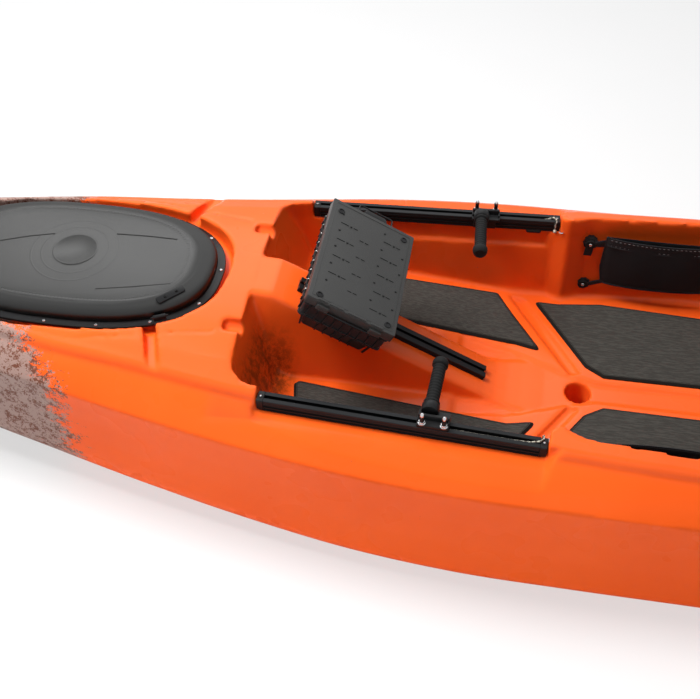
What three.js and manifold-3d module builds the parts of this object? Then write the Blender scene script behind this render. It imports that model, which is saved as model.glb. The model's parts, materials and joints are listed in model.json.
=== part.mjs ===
// Sit-on-top fishing kayak, built as an assembly of separate pieces.
// Millimetres, +Z up, bow towards -X, port side towards -Y.
// The origin lies under the middle of the hull, on the ground that the hull stands on.

import * as THREE from "three";
import { mergeVertices } from "three/addons/utils/BufferGeometryUtils.js";
import Module from "manifold-3d";

const wasm = await Module();
wasm.setup();

// Driving dimensions of the hull
const hullLength = 3840;
const hullHalfBeam = 432;
const gunwaleHeight = 370;
const gunwaleRadius = 22;
const bilgeRadius = 60;
const bilgeGrowth = 170;
const flankDrop = 72;
const sideDrop = 158;
const sideHollow = 7;
const tunnelHeight = 18;
const deckCrown = 31;
const hullWall = 5;
const overrun = 60;
const seatGap = 0.3;

// Cockpit, footwells and console
const floorHeight = 150;
const cockpitFront = -768;
const cockpitRear = 830;
const cockpitDraft = 14;
const floorFillet = 15;
const footwellBend = -225;
const footwellFront = -678;
const footwellRise = 62;
const footwellToe = 34;
const dashLean = 62;
const rampAngle = THREE.MathUtils.degToRad(27.53);
const rampOriginX = -464;
const rampOriginZ = 277;
const consoleTop = 400;
const consoleTopHalf = 57;
const consoleSideSlope = 0.32;
const consoleFootX = -236;
const consoleNoseX = -258;

// Foot rails and the pegs that slide on them
const railLength = 530;
const railWidth = 26;
const railHeight = 27;
const railMiddleX = -424.5;
const railInset = 124;
const railMiddleY = hullHalfBeam - railInset;
const railTop = 357;
const railToe = THREE.MathUtils.degToRad(3.14);
const railSlotWidth = 8;
const railSlotDepth = 9;
const railCapLength = 14;
const railPocketClearance = 1;
const starboardPegPlace = 112;
const portPegPlace = 64;
const pegPlateLength = 62;
const pegPlateWidth = 40;
const pegPlateThickness = 7;
const pegGripLength = 116;
const pegGripRadius = 13;
const pegGripRibs = 7;
const pegBoltSpacing = 42;
const pegBoltRadius = 6.5;

// Bow hatch
const hatchX = -1165;
const hatchSquareness = 2.5;
const hatchLidHalfLength = 310;
const hatchSideDeck = 254;
const hatchLidHalfWidth = hullHalfBeam - hatchSideDeck;
const hatchRimLedge = 18;
const hatchRimHalfLength = hatchLidHalfLength + hatchRimLedge + 1;
const hatchRimHalfWidth = hatchLidHalfWidth + hatchRimLedge;
const hatchHoleInset = 34;
const hatchHoleHalfLength = hatchLidHalfLength - hatchHoleInset;
const hatchHoleHalfWidth = hatchLidHalfWidth - hatchHoleInset;
const hatchMoatSide = 13;
const hatchMoatEnd = 18;
const hatchMoatHalfLength = hatchRimHalfLength + hatchMoatEnd;
const hatchMoatHalfWidth = hatchRimHalfWidth + hatchMoatSide;
const hatchMoatHeight = 340;
const hatchLandHeight = 371;
const hatchLidTop = 413;
const hatchLidCrown = 9;
const hatchLidSkin = 5;

// Tankwell behind the seat
const rearBridge = 125;
const sternDeck = 280;
const tankwellFrontInset = 164;
const tankwellRearInset = 300;
const tankwellFront = cockpitRear + rearBridge;
const tankwellRear = hullLength / 2 - sternDeck;
const tankwellFrontHalf = hullHalfBeam - tankwellFrontInset;
const tankwellRearHalf = hullHalfBeam - tankwellRearInset;
const tankwellFloor = 228;

// Console track and the tackle box on it
const trackWidth = 33;
const trackHeight = 12;
const trackFrontPlace = -262;
const trackRearPlace = 216;
const boxMiddlePlace = -151;
const boxLidLength = 192;
const boxLidWidth = 296;
const boxTop = 123;
const boxLidThickness = 22;
const boxTierHeight = 42;
const boxBottom = 15;
const boxWall = 3;
const boxTaper = 24;
const boxBaseLength = 118;
const boxBaseWidth = 84;

// Seat behind the view of a paddler's feet
const seatFrontX = 372;
const seatRearX = 748;
const seatInset = 200;
const seatHalfWidth = hullHalfBeam - seatInset;
const seatTubeRadius = 12.5;
const seatHeight = 282;
const seatBackLength = 430;
const seatBackLean = THREE.MathUtils.degToRad(14);
const cushionThickness = 46;

// Materials, coloured as the real pieces are
const paint = (color, roughness, metalness = 0) =>
  new THREE.MeshStandardMaterial({ color, roughness, metalness });
const orangeShell = paint(0xf5652f, 0.42);
const blackLid = paint(0x3e3f42, 0.38);
const blackPlastic = paint(0x1d1e20, 0.5);
const blackRubber = paint(0x141414, 0.8);
const darkAluminium = paint(0x26282b, 0.45, 0.8);
const bareSteel = paint(0xb9bcc0, 0.25, 1);
const greyFoam = paint(0x37393c, 0.95);
const blackFabric = paint(0x202124, 0.95);
const paleCord = paint(0xb8b3a4, 0.9);

// Turns a closed three.js geometry into a solid for cutting and joining
function solid(geometry) {
  const bare = geometry.clone();
  bare.deleteAttribute("normal");
  bare.deleteAttribute("uv");
  const merged = mergeVertices(bare, 1e-3);
  const index = merged.index.array;
  const kept = [];
  for (let i = 0; i < index.length; i += 3) {
    const [a, b, c] = [index[i], index[i + 1], index[i + 2]];
    if (a !== b && b !== c && c !== a) kept.push(a, b, c);
  }
  return new wasm.Manifold(new wasm.Mesh({
    numProp: 3,
    vertProperties: new Float32Array(merged.attributes.position.array),
    triVerts: new Uint32Array(kept),
  }));
}

// Cuts leave slivers, and edges shorter than this are closed up
const shortestEdge = 0.05;
function geometryOf(shape) {
  const mesh = shape.simplify(shortestEdge).getMesh();
  const geometry = new THREE.BufferGeometry();
  const points = new Float32Array(mesh.vertProperties);
  geometry.setAttribute("position", new THREE.BufferAttribute(points, 3));
  geometry.setIndex(new THREE.BufferAttribute(new Uint32Array(mesh.triVerts), 1));
  geometry.computeVertexNormals();
  return geometry;
}

// Triangles that close one end of a loft, found in the ring's own plane
function capTriangles(ring) {
  const normal = new THREE.Vector3();
  ring.forEach((p, i) => {
    const q = ring[(i + 1) % ring.length];
    normal.add(new THREE.Vector3().crossVectors(p, q));
  });
  normal.normalize();
  const side = Math.abs(normal.z) > Math.abs(normal.x)
    ? new THREE.Vector3(1, 0, 0)
    : new THREE.Vector3(0, 0, 1);
  const u = side.clone().addScaledVector(normal, -side.dot(normal)).normalize();
  const v = new THREE.Vector3().crossVectors(normal, u);
  const flat = ring.map((p) => new THREE.Vector2(p.dot(u), p.dot(v)));
  return THREE.ShapeUtils.triangulateShape(flat, []);
}

// A solid skin through closed rings of equal count, flat at both ends
function loft(rings) {
  const count = rings[0].length;
  const points = rings.flat();
  const triangles = [];
  for (let r = 0; r + 1 < rings.length; r += 1) {
    for (let i = 0; i < count; i += 1) {
      const j = (i + 1) % count;
      const [a, b] = [r * count + i, r * count + j];
      triangles.push([a, b, b + count], [a, b + count, a + count]);
    }
  }
  const last = (rings.length - 1) * count;
  for (const [a, b, c] of capTriangles(rings[0])) triangles.push([c, b, a]);
  for (const [a, b, c] of capTriangles(rings[rings.length - 1])) {
    triangles.push([a + last, b + last, c + last]);
  }
  const volume = triangles.reduce((sum, [a, b, c]) =>
    sum + points[a].dot(new THREE.Vector3().crossVectors(points[b], points[c])), 0);
  const index = triangles.flatMap(([a, b, c]) => (volume > 0 ? [a, b, c] : [a, c, b]));
  const geometry = new THREE.BufferGeometry().setFromPoints(points);
  geometry.setIndex(index);
  return geometry;
}

const slab = (outline, low, high) => loft([low, high].map((z) =>
  outline.map(([x, y]) => new THREE.Vector3(x, y, z))));

const sideSlab = (profile, near, far) => loft([near, far].map((y) =>
  profile.map(([x, z]) => new THREE.Vector3(x, y, z))));

const endSlab = (section, back, front) => loft([back, front].map((x) =>
  section.map(([y, z]) => new THREE.Vector3(x, y, z))));

function block(lengthX, widthY, heightZ, x = 0, y = 0, z = 0) {
  return solid(new THREE.BoxGeometry(lengthX, widthY, heightZ).translate(x, y, z));
}

// A round bar from one point to another
function bar(from, to, radius, sides = 16) {
  const a = new THREE.Vector3(...from);
  const b = new THREE.Vector3(...to);
  const geometry = new THREE.CylinderGeometry(radius, radius, a.distanceTo(b), sides);
  const turn = new THREE.Quaternion().setFromUnitVectors(
    new THREE.Vector3(0, 1, 0), b.clone().sub(a).normalize());
  geometry.applyQuaternion(turn);
  const middle = a.add(b).multiplyScalar(0.5);
  return solid(geometry.translate(middle.x, middle.y, middle.z));
}

function roundSection(radius, sides) {
  const points = [];
  for (let i = 0; i < sides; i += 1) {
    const angle = (i / sides) * 2 * Math.PI;
    points.push(new THREE.Vector2(radius * Math.cos(angle), radius * Math.sin(angle)));
  }
  return new THREE.Shape(points);
}

function tube(points, radius, sides, steps, tension = 0.5) {
  const path = new THREE.CatmullRomCurve3(points.map((p) => new THREE.Vector3(...p)),
    false, "catmullrom", tension);
  return new THREE.ExtrudeGeometry(roundSection(radius, sides),
    { steps, bevelEnabled: false, extrudePath: path });
}

// Points of a bar that runs straight and turns round corners of one radius
function bentPath(corners, radius, arcSteps = 4) {
  const points = [corners[0]];
  for (let i = 1; i + 1 < corners.length; i += 1) {
    const corner = new THREE.Vector3(...corners[i]);
    const before = new THREE.Vector3(...corners[i - 1]).sub(corner).normalize();
    const after = new THREE.Vector3(...corners[i + 1]).sub(corner).normalize();
    const half = before.angleTo(after) / 2;
    const back = radius / Math.tan(half);
    const start = corner.clone().addScaledVector(before, back);
    const end = corner.clone().addScaledVector(after, back);
    const turn = new THREE.QuadraticBezierCurve3(start, corner, end);
    for (const p of turn.getPoints(arcSteps)) points.push([p.x, p.y, p.z]);
  }
  points.push(corners[corners.length - 1]);
  return points;
}

// A bent bar of round section whose path is kept as straight runs between its points
function bentBar(corners, bendRadius, radius, sides = 12, arcSteps = 4) {
  const points = bentPath(corners, bendRadius, arcSteps).map((p) => new THREE.Vector3(...p));
  const rings = [];
  const along = new THREE.Vector3();
  let side = new THREE.Vector3(0, 0, 1);
  points.forEach((p, i) => {
    const before = points[Math.max(i - 1, 0)];
    const after = points[Math.min(i + 1, points.length - 1)];
    along.subVectors(after, before).normalize();
    if (i === 0 && Math.abs(along.z) > 0.9) side = new THREE.Vector3(1, 0, 0);
    side = side.clone().addScaledVector(along, -side.dot(along)).normalize();
    const up = new THREE.Vector3().crossVectors(along, side);
    const ring = [];
    for (let k = 0; k < sides; k += 1) {
      const angle = (k / sides) * 2 * Math.PI;
      ring.push(p.clone().addScaledVector(side, radius * Math.cos(angle))
        .addScaledVector(up, radius * Math.sin(angle)));
    }
    rings.push(ring);
  });
  return solid(loft(rings));
}

// An oval between an ellipse and a rectangle
function oval(middleX, halfLength, halfWidth, count = 44, squareness = hatchSquareness) {
  const outline = [];
  for (let i = 0; i < count; i += 1) {
    const angle = (i / count) * 2 * Math.PI;
    const [c, s] = [Math.cos(angle), Math.sin(angle)];
    outline.push([
      middleX + halfLength * Math.sign(c) * Math.abs(c) ** (2 / squareness),
      halfWidth * Math.sign(s) * Math.abs(s) ** (2 / squareness),
    ]);
  }
  return outline;
}

// Rounds the corners of a closed outline, each by its own radius
function roundedOutline(corners, arcSteps = 4) {
  const outline = [];
  corners.forEach(([x, y, radius], i) => {
    const corner = new THREE.Vector2(x, y);
    if (!radius) {
      outline.push([x, y]);
      return;
    }
    const [px, py] = corners[(i + corners.length - 1) % corners.length];
    const [nx, ny] = corners[(i + 1) % corners.length];
    const before = new THREE.Vector2(px, py).sub(corner).normalize();
    const after = new THREE.Vector2(nx, ny).sub(corner).normalize();
    const back = radius / Math.tan(Math.acos(before.dot(after)) / 2);
    const start = corner.clone().addScaledVector(before, back);
    const end = corner.clone().addScaledVector(after, back);
    const turn = new THREE.QuadraticBezierCurve(start, corner, end);
    for (const p of turn.getPoints(arcSteps)) outline.push([p.x, p.y]);
  });
  return outline;
}

// The starboard half of an outline, from bow to stern, joined to its mirror image
const mirrored = (half) => [...half, ...half.map(([x, y, r]) => [x, -y, r]).reverse()];

function boxOutline(length, width, radius) {
  const [x, y] = [length / 2, width / 2];
  return roundedOutline([[-x, -y, radius], [x, -y, radius], [x, y, radius], [-x, y, radius]]);
}

// Hull lines: place along the half length, beam, gunwale, keel rise and sheer rise,
// as shares of the half length, the half beam, the half beam and the gunwale height
const stationShares = [
  [-1, 0.035, 0.03, 0.84, 0.105],
  [-0.985, 0.1, 0.085, 0.63, 0.105],
  [-0.962, 0.18, 0.145, 0.45, 0.102],
  [-0.911, 0.31, 0.24, 0.25, 0.09],
  [-0.833, 0.435, 0.335, 0.11, 0.07],
  [-0.7375, 0.55, 0.428, 0.04, 0.045],
  [-0.621, 0.66, 0.54, 0.012, 0.022],
  [-0.5016, 0.772, 0.614, 0, 0.008],
  [-0.384, 0.872, 0.694, 0, 0],
  [-0.2656, 0.952, 0.756, 0, 0],
  [-0.148, 0.993, 0.795, 0, 0],
  [-0.032, 1, 0.824, 0, 0],
  [0.081, 1, 0.848, 0, 0],
  [0.234, 1, 0.866, 0, 0],
  [0.396, 0.985, 0.86, 0, 0],
  [0.573, 0.93, 0.8, 0, 0.005],
  [0.729, 0.805, 0.675, 0.03, 0.015],
  [0.859, 0.6, 0.49, 0.12, 0.03],
  [0.9375, 0.39, 0.31, 0.28, 0.04],
  [0.98, 0.19, 0.15, 0.5, 0.045],
  [1, 0.045, 0.036, 0.74, 0.045],
];

// Smooth value of one column of the station table
function lineShare(place, column) {
  const rows = stationShares;
  let i = rows.findIndex((row) => row[0] >= place);
  if (i < 1) i = i === 0 ? 1 : rows.length - 1;
  const [p0, p1] = [rows[i - 1], rows[i]];
  const before = rows[Math.max(i - 2, 0)];
  const after = rows[Math.min(i + 1, rows.length - 1)];
  const span = p1[0] - p0[0];
  const t = (place - p0[0]) / span;
  const slope0 = ((p1[column] - before[column]) / (p1[0] - before[0])) * span;
  const slope1 = ((after[column] - p0[column]) / (after[0] - p0[0])) * span;
  const [t2, t3] = [t * t, t * t * t];
  return (2 * t3 - 3 * t2 + 1) * p0[column] + (t3 - 2 * t2 + t) * slope0
    + (3 * t2 - 2 * t3) * p1[column] + (t3 - t2) * slope1;
}

function hullLines(x) {
  const place = (2 * x) / hullLength;
  return {
    beam: hullHalfBeam * lineShare(place, 1),
    gunwale: hullHalfBeam * lineShare(place, 2),
    keel: gunwaleHeight * Math.max(lineShare(place, 3), 0),
    sheer: gunwaleHeight * (1 + lineShare(place, 4)),
  };
}

// One cross section of the hull, drawn in by a wall thickness
function hullRing(x, inset) {
  const { beam, gunwale, keel, sheer } = hullLines(x);
  const bilge = Math.min(bilgeRadius + bilgeGrowth * (1 - beam / hullHalfBeam), beam * 0.6);
  const shoulder = Math.min(gunwaleRadius, gunwale * 0.5);
  const crown = deckCrown * Math.min(gunwale / hullHalfBeam / 0.5, 1);
  const depth = sheer - keel;
  const flat = beam - bilge;
  const half = [
    [0, keel + tunnelHeight],
    [flat * 0.42, keel + tunnelHeight],
    [flat * 0.62, keel],
    [flat, keel],
  ];
  for (let i = 1; i <= 3; i += 1) {
    const angle = (i / 3) * (Math.PI / 2);
    half.push([flat + bilge * Math.sin(angle), keel + bilge * (1 - Math.cos(angle))]);
  }
  const sideTop = sheer - Math.min(flankDrop, depth * 0.3);
  const sideMiddle = sheer - Math.min(sideDrop, depth * 0.5);
  half.push([beam - sideHollow * (beam / hullHalfBeam), (sideTop + sideMiddle) / 2]);
  half.push([beam, sideTop]);
  half.push([gunwale, sheer - shoulder]);
  for (let i = 1; i <= 2; i += 1) {
    const angle = (i / 2) * (Math.PI / 2);
    half.push([gunwale - shoulder * (1 - Math.cos(angle)), sheer - shoulder * (1 - Math.sin(angle))]);
  }
  half.push([gunwale * 0.55, sheer + crown * 0.72]);
  half.push([0, sheer + crown]);
  const [lowest, highest] = [keel + inset, sheer + crown - inset];
  const middle = (keel + sheer) / 2;
  const drawn = half.map(([y, z]) => {
    const out = Math.max(y - inset * (y > flat ? 1 : 0), 0);
    const level = z > middle ? Math.min(z - inset, highest) : Math.max(z + inset, lowest);
    return [inset ? out : y, inset ? level : z];
  });
  const whole = [...drawn, ...drawn.slice(1, -1).reverse().map(([y, z]) => [-y, z])];
  return whole.map(([y, z]) => new THREE.Vector3(x, y, z));
}

function hullSkin(inset, perSpan) {
  const rings = [];
  const reach = hullLength / 2;
  const ends = inset * 3;
  stationShares.forEach(([share], i) => {
    const next = stationShares[i + 1];
    const steps = next ? perSpan : 1;
    for (let k = 0; k < steps; k += 1) {
      const x = reach * (next ? share + ((next[0] - share) * k) / steps : share);
      if (Math.abs(x) > reach - ends && inset) continue;
      rings.push(hullRing(x, inset));
    }
  });
  return solid(loft(rings));
}

// Height of the deck at a place, for what stands on it
function deckHeight(x) {
  const { gunwale, sheer } = hullLines(x);
  return sheer + deckCrown * Math.min(gunwale / hullHalfBeam / 0.5, 1);
}

// Cockpit opening at the gunwales, starboard half from bow to stern
const railRearX = railMiddleX + (railLength / 2) * Math.cos(railToe);
const railFrontX = railMiddleX - (railLength / 2) * Math.cos(railToe);
const railInnerY = railMiddleY - railWidth / 2;
const railSpread = (railLength / 2) * Math.sin(railToe);
const pinchX = 36;
const pinchDepth = 17;
const recessInset = 101;
const seatBayInset = 133;
const recessHalf = hullHalfBeam - recessInset;
const seatBayHalf = hullHalfBeam - seatBayInset;
const cornerRadius = 46;

function cockpitOutline() {
  const half = [
    [cockpitFront, railInnerY - railSpread - cornerRadius * 0.2, cornerRadius],
    [railFrontX, railInnerY - railSpread, 0],
    [railRearX, railInnerY + railSpread, 0],
    [railRearX + pinchX, railInnerY + railSpread - pinchDepth, 0],
    [railRearX + 2.3 * pinchX, recessHalf - pinchDepth, 0],
    [railRearX + 9 * pinchX, recessHalf, 0],
    [railRearX + 10 * pinchX, recessHalf, 0],
    [railRearX + 12.5 * pinchX, seatBayHalf, 0],
    [cockpitRear, seatBayHalf, cornerRadius],
  ];
  return roundedOutline(mirrored(half), 3);
}

// Faces inside the wall, which nobody sees, are cut with fewer sides
const innerShare = 0.7;
const coarser = (count, grow) => (grow ? Math.ceil((count * innerShare) / 4) * 4 : count);

// A cut from a closed outline whose walls lean in towards its floor
function well(outline, floor, fillet, draft, wallTop, grow, steps = 2) {
  const xs = outline.map(([x]) => x);
  const middle = (Math.min(...xs) + Math.max(...xs)) / 2;
  const halfLength = (Math.max(...xs) - Math.min(...xs)) / 2;
  const halfWidth = Math.max(...outline.map(([, y]) => y));
  const ring = (inset, z) => outline.map(([x, y]) => new THREE.Vector3(
    middle + ((x - middle) * (halfLength - inset)) / halfLength,
    (y * (halfWidth - inset)) / halfWidth, z));
  const rings = [];
  for (let i = 0; i <= steps; i += 1) {
    const angle = (i / steps) * (Math.PI / 2);
    rings.push(ring(draft + fillet * (1 - Math.sin(angle)) - grow,
      floor + fillet * (1 - Math.cos(angle)) - grow));
  }
  rings.push(ring(-grow, wallTop));
  rings.push(ring(-grow, wallTop + 2 * overrun + grow));
  return solid(loft(rings));
}

// Side view of the raised floor in front of the bend, and of the leaning wall ahead of it
const footwellFrontZ = floorHeight + footwellRise;
function footwellFill(grow) {
  const profile = [
    [footwellBend, floorHeight - overrun],
    [footwellBend, floorHeight - grow],
    [footwellFront, footwellFrontZ - grow],
    [footwellFront - footwellToe, footwellFrontZ + footwellToe * 0.5 - grow],
    [footwellFront - footwellToe - dashLean - grow, gunwaleHeight + deckCrown],
    [cockpitFront - overrun, gunwaleHeight + deckCrown],
    [cockpitFront - overrun, floorHeight - overrun],
  ];
  return solid(sideSlab(profile, -hullHalfBeam, hullHalfBeam));
}

// The console between the footwells: level at the dash, then a ramp down to the floor
const rampSlope = Math.tan(rampAngle);
const rampSurfaceDrop = (trackHeight + seatGap) / Math.cos(rampAngle);
const rampHeight = (x) => rampOriginZ - rampSurfaceDrop - (x - rampOriginX) * rampSlope;
const consoleCrestX = rampOriginX - (consoleTop - rampOriginZ + rampSurfaceDrop) / rampSlope;

function consoleHump(grow) {
  const foot = floorHeight - overrun / 2;
  const section = (x, top) => {
    const baseHalf = consoleTopHalf + (top - foot) * consoleSideSlope;
    return [
      [-baseHalf + grow, foot], [baseHalf - grow, foot],
      [consoleTopHalf - grow, top - grow], [-consoleTopHalf + grow, top - grow],
    ].map(([y, z]) => new THREE.Vector3(x, y, z));
  };
  return solid(loft([
    section(cockpitFront - overrun, consoleTop),
    section(consoleCrestX, consoleTop),
    section(consoleNoseX, rampHeight(consoleNoseX)),
    section(consoleFootX - grow, floorHeight - grow),
  ]));
}

function railPocket(side, grow) {
  const length = railLength + 2 * (railCapLength + railPocketClearance);
  const outer = railWidth / 2 + railPocketClearance;
  const inner = railWidth / 2 + cockpitDraft;
  const low = railTop - railHeight - seatGap - grow;
  const pocket = block(length + 2 * grow, outer + inner + grow, overrun + grow,
    0, side * ((outer - inner + grow) / 2), low + (overrun + grow) / 2);
  return pocket.rotate([0, 0, side * THREE.MathUtils.radToDeg(railToe)])
    .translate([railMiddleX, side * railMiddleY, 0]);
}

// The gunwale drops to a shelf beside each foot rail, so the rail's outer face shows
const shelfLand = 30;
const shelfFallRun = 50;
const shelfFallDrop = 16;
const shelfRamp = 52;
function railShelf(side, grow) {
  const low = railTop - railHeight - seatGap;
  const high = gunwaleHeight + deckCrown;
  const inner = railWidth / 2 + railPocketClearance;
  const section = (x, base) => [
    [inner - grow, base - grow], [inner + shelfLand, base - grow],
    [inner + shelfLand + shelfFallRun, base - shelfFallDrop - grow],
    [hullHalfBeam, base - shelfFallDrop - grow], [hullHalfBeam, high + overrun],
    [inner - grow, high + overrun],
  ].map(([y, z]) => new THREE.Vector3(x, side * y, z));
  const reach = railLength / 2 + railCapLength + railPocketClearance + grow;
  const shelf = solid(loft([
    section(-reach - shelfRamp, high), section(-reach, low),
    section(reach, low), section(reach + shelfRamp, high),
  ]));
  return shelf.rotate([0, 0, side * THREE.MathUtils.radToDeg(railToe)])
    .translate([railMiddleX, side * railMiddleY, 0]);
}

const collarInset = 12;
function hatchRecess(grow) {
  const count = coarser(44, grow);
  const moatOutline = oval(hatchX, hatchMoatHalfLength + grow, hatchMoatHalfWidth + grow, count);
  const land = solid(slab(moatOutline, hatchLandHeight - grow, hatchLandHeight + overrun * 2));
  const moat = solid(slab(moatOutline, hatchMoatHeight - grow, hatchLandHeight));
  const collarGap = hatchMoatHalfLength - hatchRimHalfLength + collarInset;
  const collar = solid(slab(oval(hatchX, hatchMoatHalfLength - collarGap - grow,
    hatchMoatHalfWidth - collarGap - grow, count), hatchMoatHeight - overrun, hatchLandHeight + overrun));
  return land.add(moat.subtract(collar));
}

// Shallow drains that run from the moat out to the gunwales
const drainX = -968;
const drainTurn = 0.35;
const drainHalfWidth = 13;
function deckDrain(side, grow) {
  const inner = hatchMoatHalfWidth * 0.6;
  const outer = hullHalfBeam;
  const [w, z] = [drainHalfWidth + grow, hatchLandHeight - drainHalfWidth - grow];
  const outline = [
    [drainX - w, side * inner], [drainX + w, side * inner],
    [drainX + w + (outer - inner) * drainTurn, side * outer],
    [drainX - w + (outer - inner) * drainTurn, side * outer],
  ];
  return solid(slab(outline, z, z + overrun * 2));
}

// Notches in the dash that a rod lies in
const notchY = 160;
const notchRadius = 14;
const notchLength = 45;
function rodNotch(side, grow) {
  const { sheer } = hullLines(cockpitFront);
  const height = sheer + deckCrown * 0.45;
  return bar([cockpitFront - notchLength, side * notchY, height + notchRadius * 0.6],
    [cockpitFront + overrun, side * notchY, height - notchRadius * 0.2], notchRadius + grow, coarser(12, grow));
}

// Places of the through drains, and their bores
const scupperRadius = 28;
const scupperPlaces = [
  [-70, 0],
  [cockpitRear - 3 * scupperRadius, seatBayHalf - 3 * scupperRadius],
  [cockpitRear - 3 * scupperRadius, -seatBayHalf + 3 * scupperRadius],
  [tankwellFront + 3.4 * scupperRadius, tankwellFrontHalf - 3.6 * scupperRadius],
  [tankwellFront + 3.4 * scupperRadius, -tankwellFrontHalf + 3.6 * scupperRadius],
];
const scupper = ([x, y], grow) =>
  bar([x, y, -overrun], [x, y, gunwaleHeight], scupperRadius + grow, coarser(20, grow));

// Grooves in the floor that lead to the middle drain
const grooveDepth = 5;
const grooveHalfWidth = 9;
function floorGroove(side, grow) {
  const [x0, y0] = scupperPlaces[0];
  const reach = railInnerY - cockpitDraft * 2.2 + grow;
  const outline = [
    [x0 - grooveHalfWidth - grow, y0],
    [x0 + grooveHalfWidth + grow, y0],
    [footwellBend + 5 * grooveHalfWidth + grow, side * reach],
    [footwellBend + 3 * grooveHalfWidth - grow, side * reach],
  ];
  return solid(slab(outline, floorHeight - grooveDepth - grow, floorHeight + grooveDepth));
}

function tankwell(grow) {
  const corner = cornerRadius;
  const half = [
    [tankwellFront, tankwellFrontHalf, corner],
    [tankwellRear, tankwellRearHalf, corner],
  ];
  return well(roundedOutline(mirrored(half)), tankwellFloor, floorFillet, cockpitDraft,
    gunwaleHeight, grow);
}

// Flush rod holders behind the seat, leaning back and out
const rodHolderX = 893;
const rodHolderInset = 196;
const rodHolderY = hullHalfBeam - rodHolderInset;
const rodTubeRadius = 24;
const rodTubeWall = 3;
const rodTubeLength = 170;
const rodTubeLean = 10;
const rodTubeSplay = 14;
const rodFlangeRadius = 38;
const rodFlangeThickness = 6;
const rodSeatHeight = gunwaleHeight + deckCrown * 0.4;
function leanAsRodHolder(shape, side) {
  return shape.rotate([side * -rodTubeSplay, rodTubeLean, 0])
    .translate([rodHolderX, side * rodHolderY, rodSeatHeight]);
}

// A flat land for each rod holder's flange
const rodLandMargin = 4.4;
function rodLand(side, grow) {
  const land = bar([0, 0, -grow], [0, 0, overrun * 2], rodFlangeRadius + rodLandMargin + grow, coarser(24, grow));
  return leanAsRodHolder(land, side);
}

// Flat lands on the gunwales beside the seat, and round the drain plug
const gearTrackFront = 335;
const gearTrackRear = 735;
const gearTrackInset = 105;
const gearTrackY = hullHalfBeam - gearTrackInset;
const gearLandHeight = gunwaleHeight + 1;
function gearLand(side, grow) {
  const length = gearTrackRear - gearTrackFront + 2 * (railPocketClearance + grow);
  const width = trackWidth + 2 * (railPocketClearance + grow);
  return block(length, width, overrun, (gearTrackFront + gearTrackRear) / 2, side * gearTrackY,
    gearLandHeight - grow + overrun / 2);
}

const drainPlugReach = 50;
const drainPlugX = tankwellRear + drainPlugReach;
const drainPlugRadius = 13;
const drainCapRadius = 18;
const plugLandHeight = deckHeight(drainPlugX) - 5;
const plugLand = (grow) => bar([drainPlugX, 0, plugLandHeight - grow],
  [drainPlugX, 0, plugLandHeight + overrun], drainCapRadius + 2 + grow, 20);

function hullCuts(grow) {
  const cockpit = well(cockpitOutline(), floorHeight, floorFillet, cockpitDraft,
    railTop - railHeight, grow, grow ? 1 : 2)
    .subtract(footwellFill(grow)).subtract(consoleHump(grow));
  const cuts = [cockpit, hatchRecess(grow), tankwell(grow), plugLand(grow)];
  for (const side of [-1, 1]) {
    cuts.push(railPocket(side, grow), railShelf(side, grow));
    cuts.push(deckDrain(side, grow), rodNotch(side, grow));
    cuts.push(floorGroove(side, grow), rodLand(side, grow), gearLand(side, grow));
  }
  for (const place of scupperPlaces) cuts.push(scupper(place, grow));
  return wasm.Manifold.union(cuts);
}

const biggest = (shape) => shape.decompose()
  .reduce((best, part) => (part.volume() > best.volume() ? part : best));

const outerHull = hullSkin(0, 2);
const cutHull = outerHull.subtract(hullCuts(0));

function hull() {
  const cavity = biggest(hullSkin(hullWall, 1).subtract(hullCuts(hullWall)));
  let shell = cutHull.subtract(cavity);
  shell = shell.subtract(solid(slab(
    oval(hatchX, hatchHoleHalfLength, hatchHoleHalfWidth),
    hatchMoatHeight - overrun, hatchLandHeight + overrun)));
  for (const side of [-1, 1]) {
    shell = shell.subtract(leanAsRodHolder(
      bar([0, 0, -overrun], [0, 0, overrun], rodTubeRadius + seatGap, 24), side));
  }
  shell = shell.subtract(bar([drainPlugX, 0, plugLandHeight - overrun],
    [drainPlugX, 0, plugLandHeight + overrun], drainPlugRadius + seatGap, 20));
  return biggest(shell);
}

const kayak = new THREE.Group();

function add(name, shape, material, parent = kayak) {
  const geometry = shape.isBufferGeometry ? shape : geometryOf(shape);
  const mesh = new THREE.Mesh(geometry, material);
  mesh.name = name;
  parent.add(mesh);
  return mesh;
}

const sideName = (side) => (side < 0 ? "port" : "starboard");
add("hull", hull(), orangeShell);

// Cuts a piece back to the hull's surface, less the seating gap in the given direction
const seated = (shape, [x, y, z]) =>
  biggest(shape.subtract(cutHull.translate([x * seatGap, y * seatGap, z * seatGap])));

// Bow hatch: flange on the collar, gasket on its lip, domed lid, hinge at the bow
const rimThickness = 6;
const rimLipHeight = 24;
const rimLipWall = 5;
const gasketHeight = 5;
const gasketOverlap = 5;
const lidSkirtGap = 1.5;
const hingeRadius = 7;
const hingePinRadius = 3;
const hingePinClearance = 0.3;
const hingeBarrelHalf = 32;
const hingeEarLength = 13;
const hingeSideGap = 0.6;
const hingeX = hatchX - hatchRimHalfLength + 1.2 * hingeRadius;
const rimLow = hatchLandHeight + seatGap;
const rimTop = rimLow + rimThickness;
const hingeZ = rimTop + hingeRadius + seatGap;
const latchX = -940;
const latchWidth = 26;
const latchStrap = 4;
const latchPinRadius = 2;
const latchPinClearance = 0.3;
const latchBarrelRadius = 4.5;
const latchEar = 5;
const latchEarReach = 1.8 * hatchLidSkin;
const latchFootReach = 8;
const latchSetOut = latchBarrelRadius + 2 * seatGap;
const latchDrop = 11;
const latchPivotZ = rimTop + seatGap + latchDrop;

const hingeLine = (half, radius) =>
  bar([hingeX, -half, hingeZ], [hingeX, half, hingeZ], radius, 12);

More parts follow.
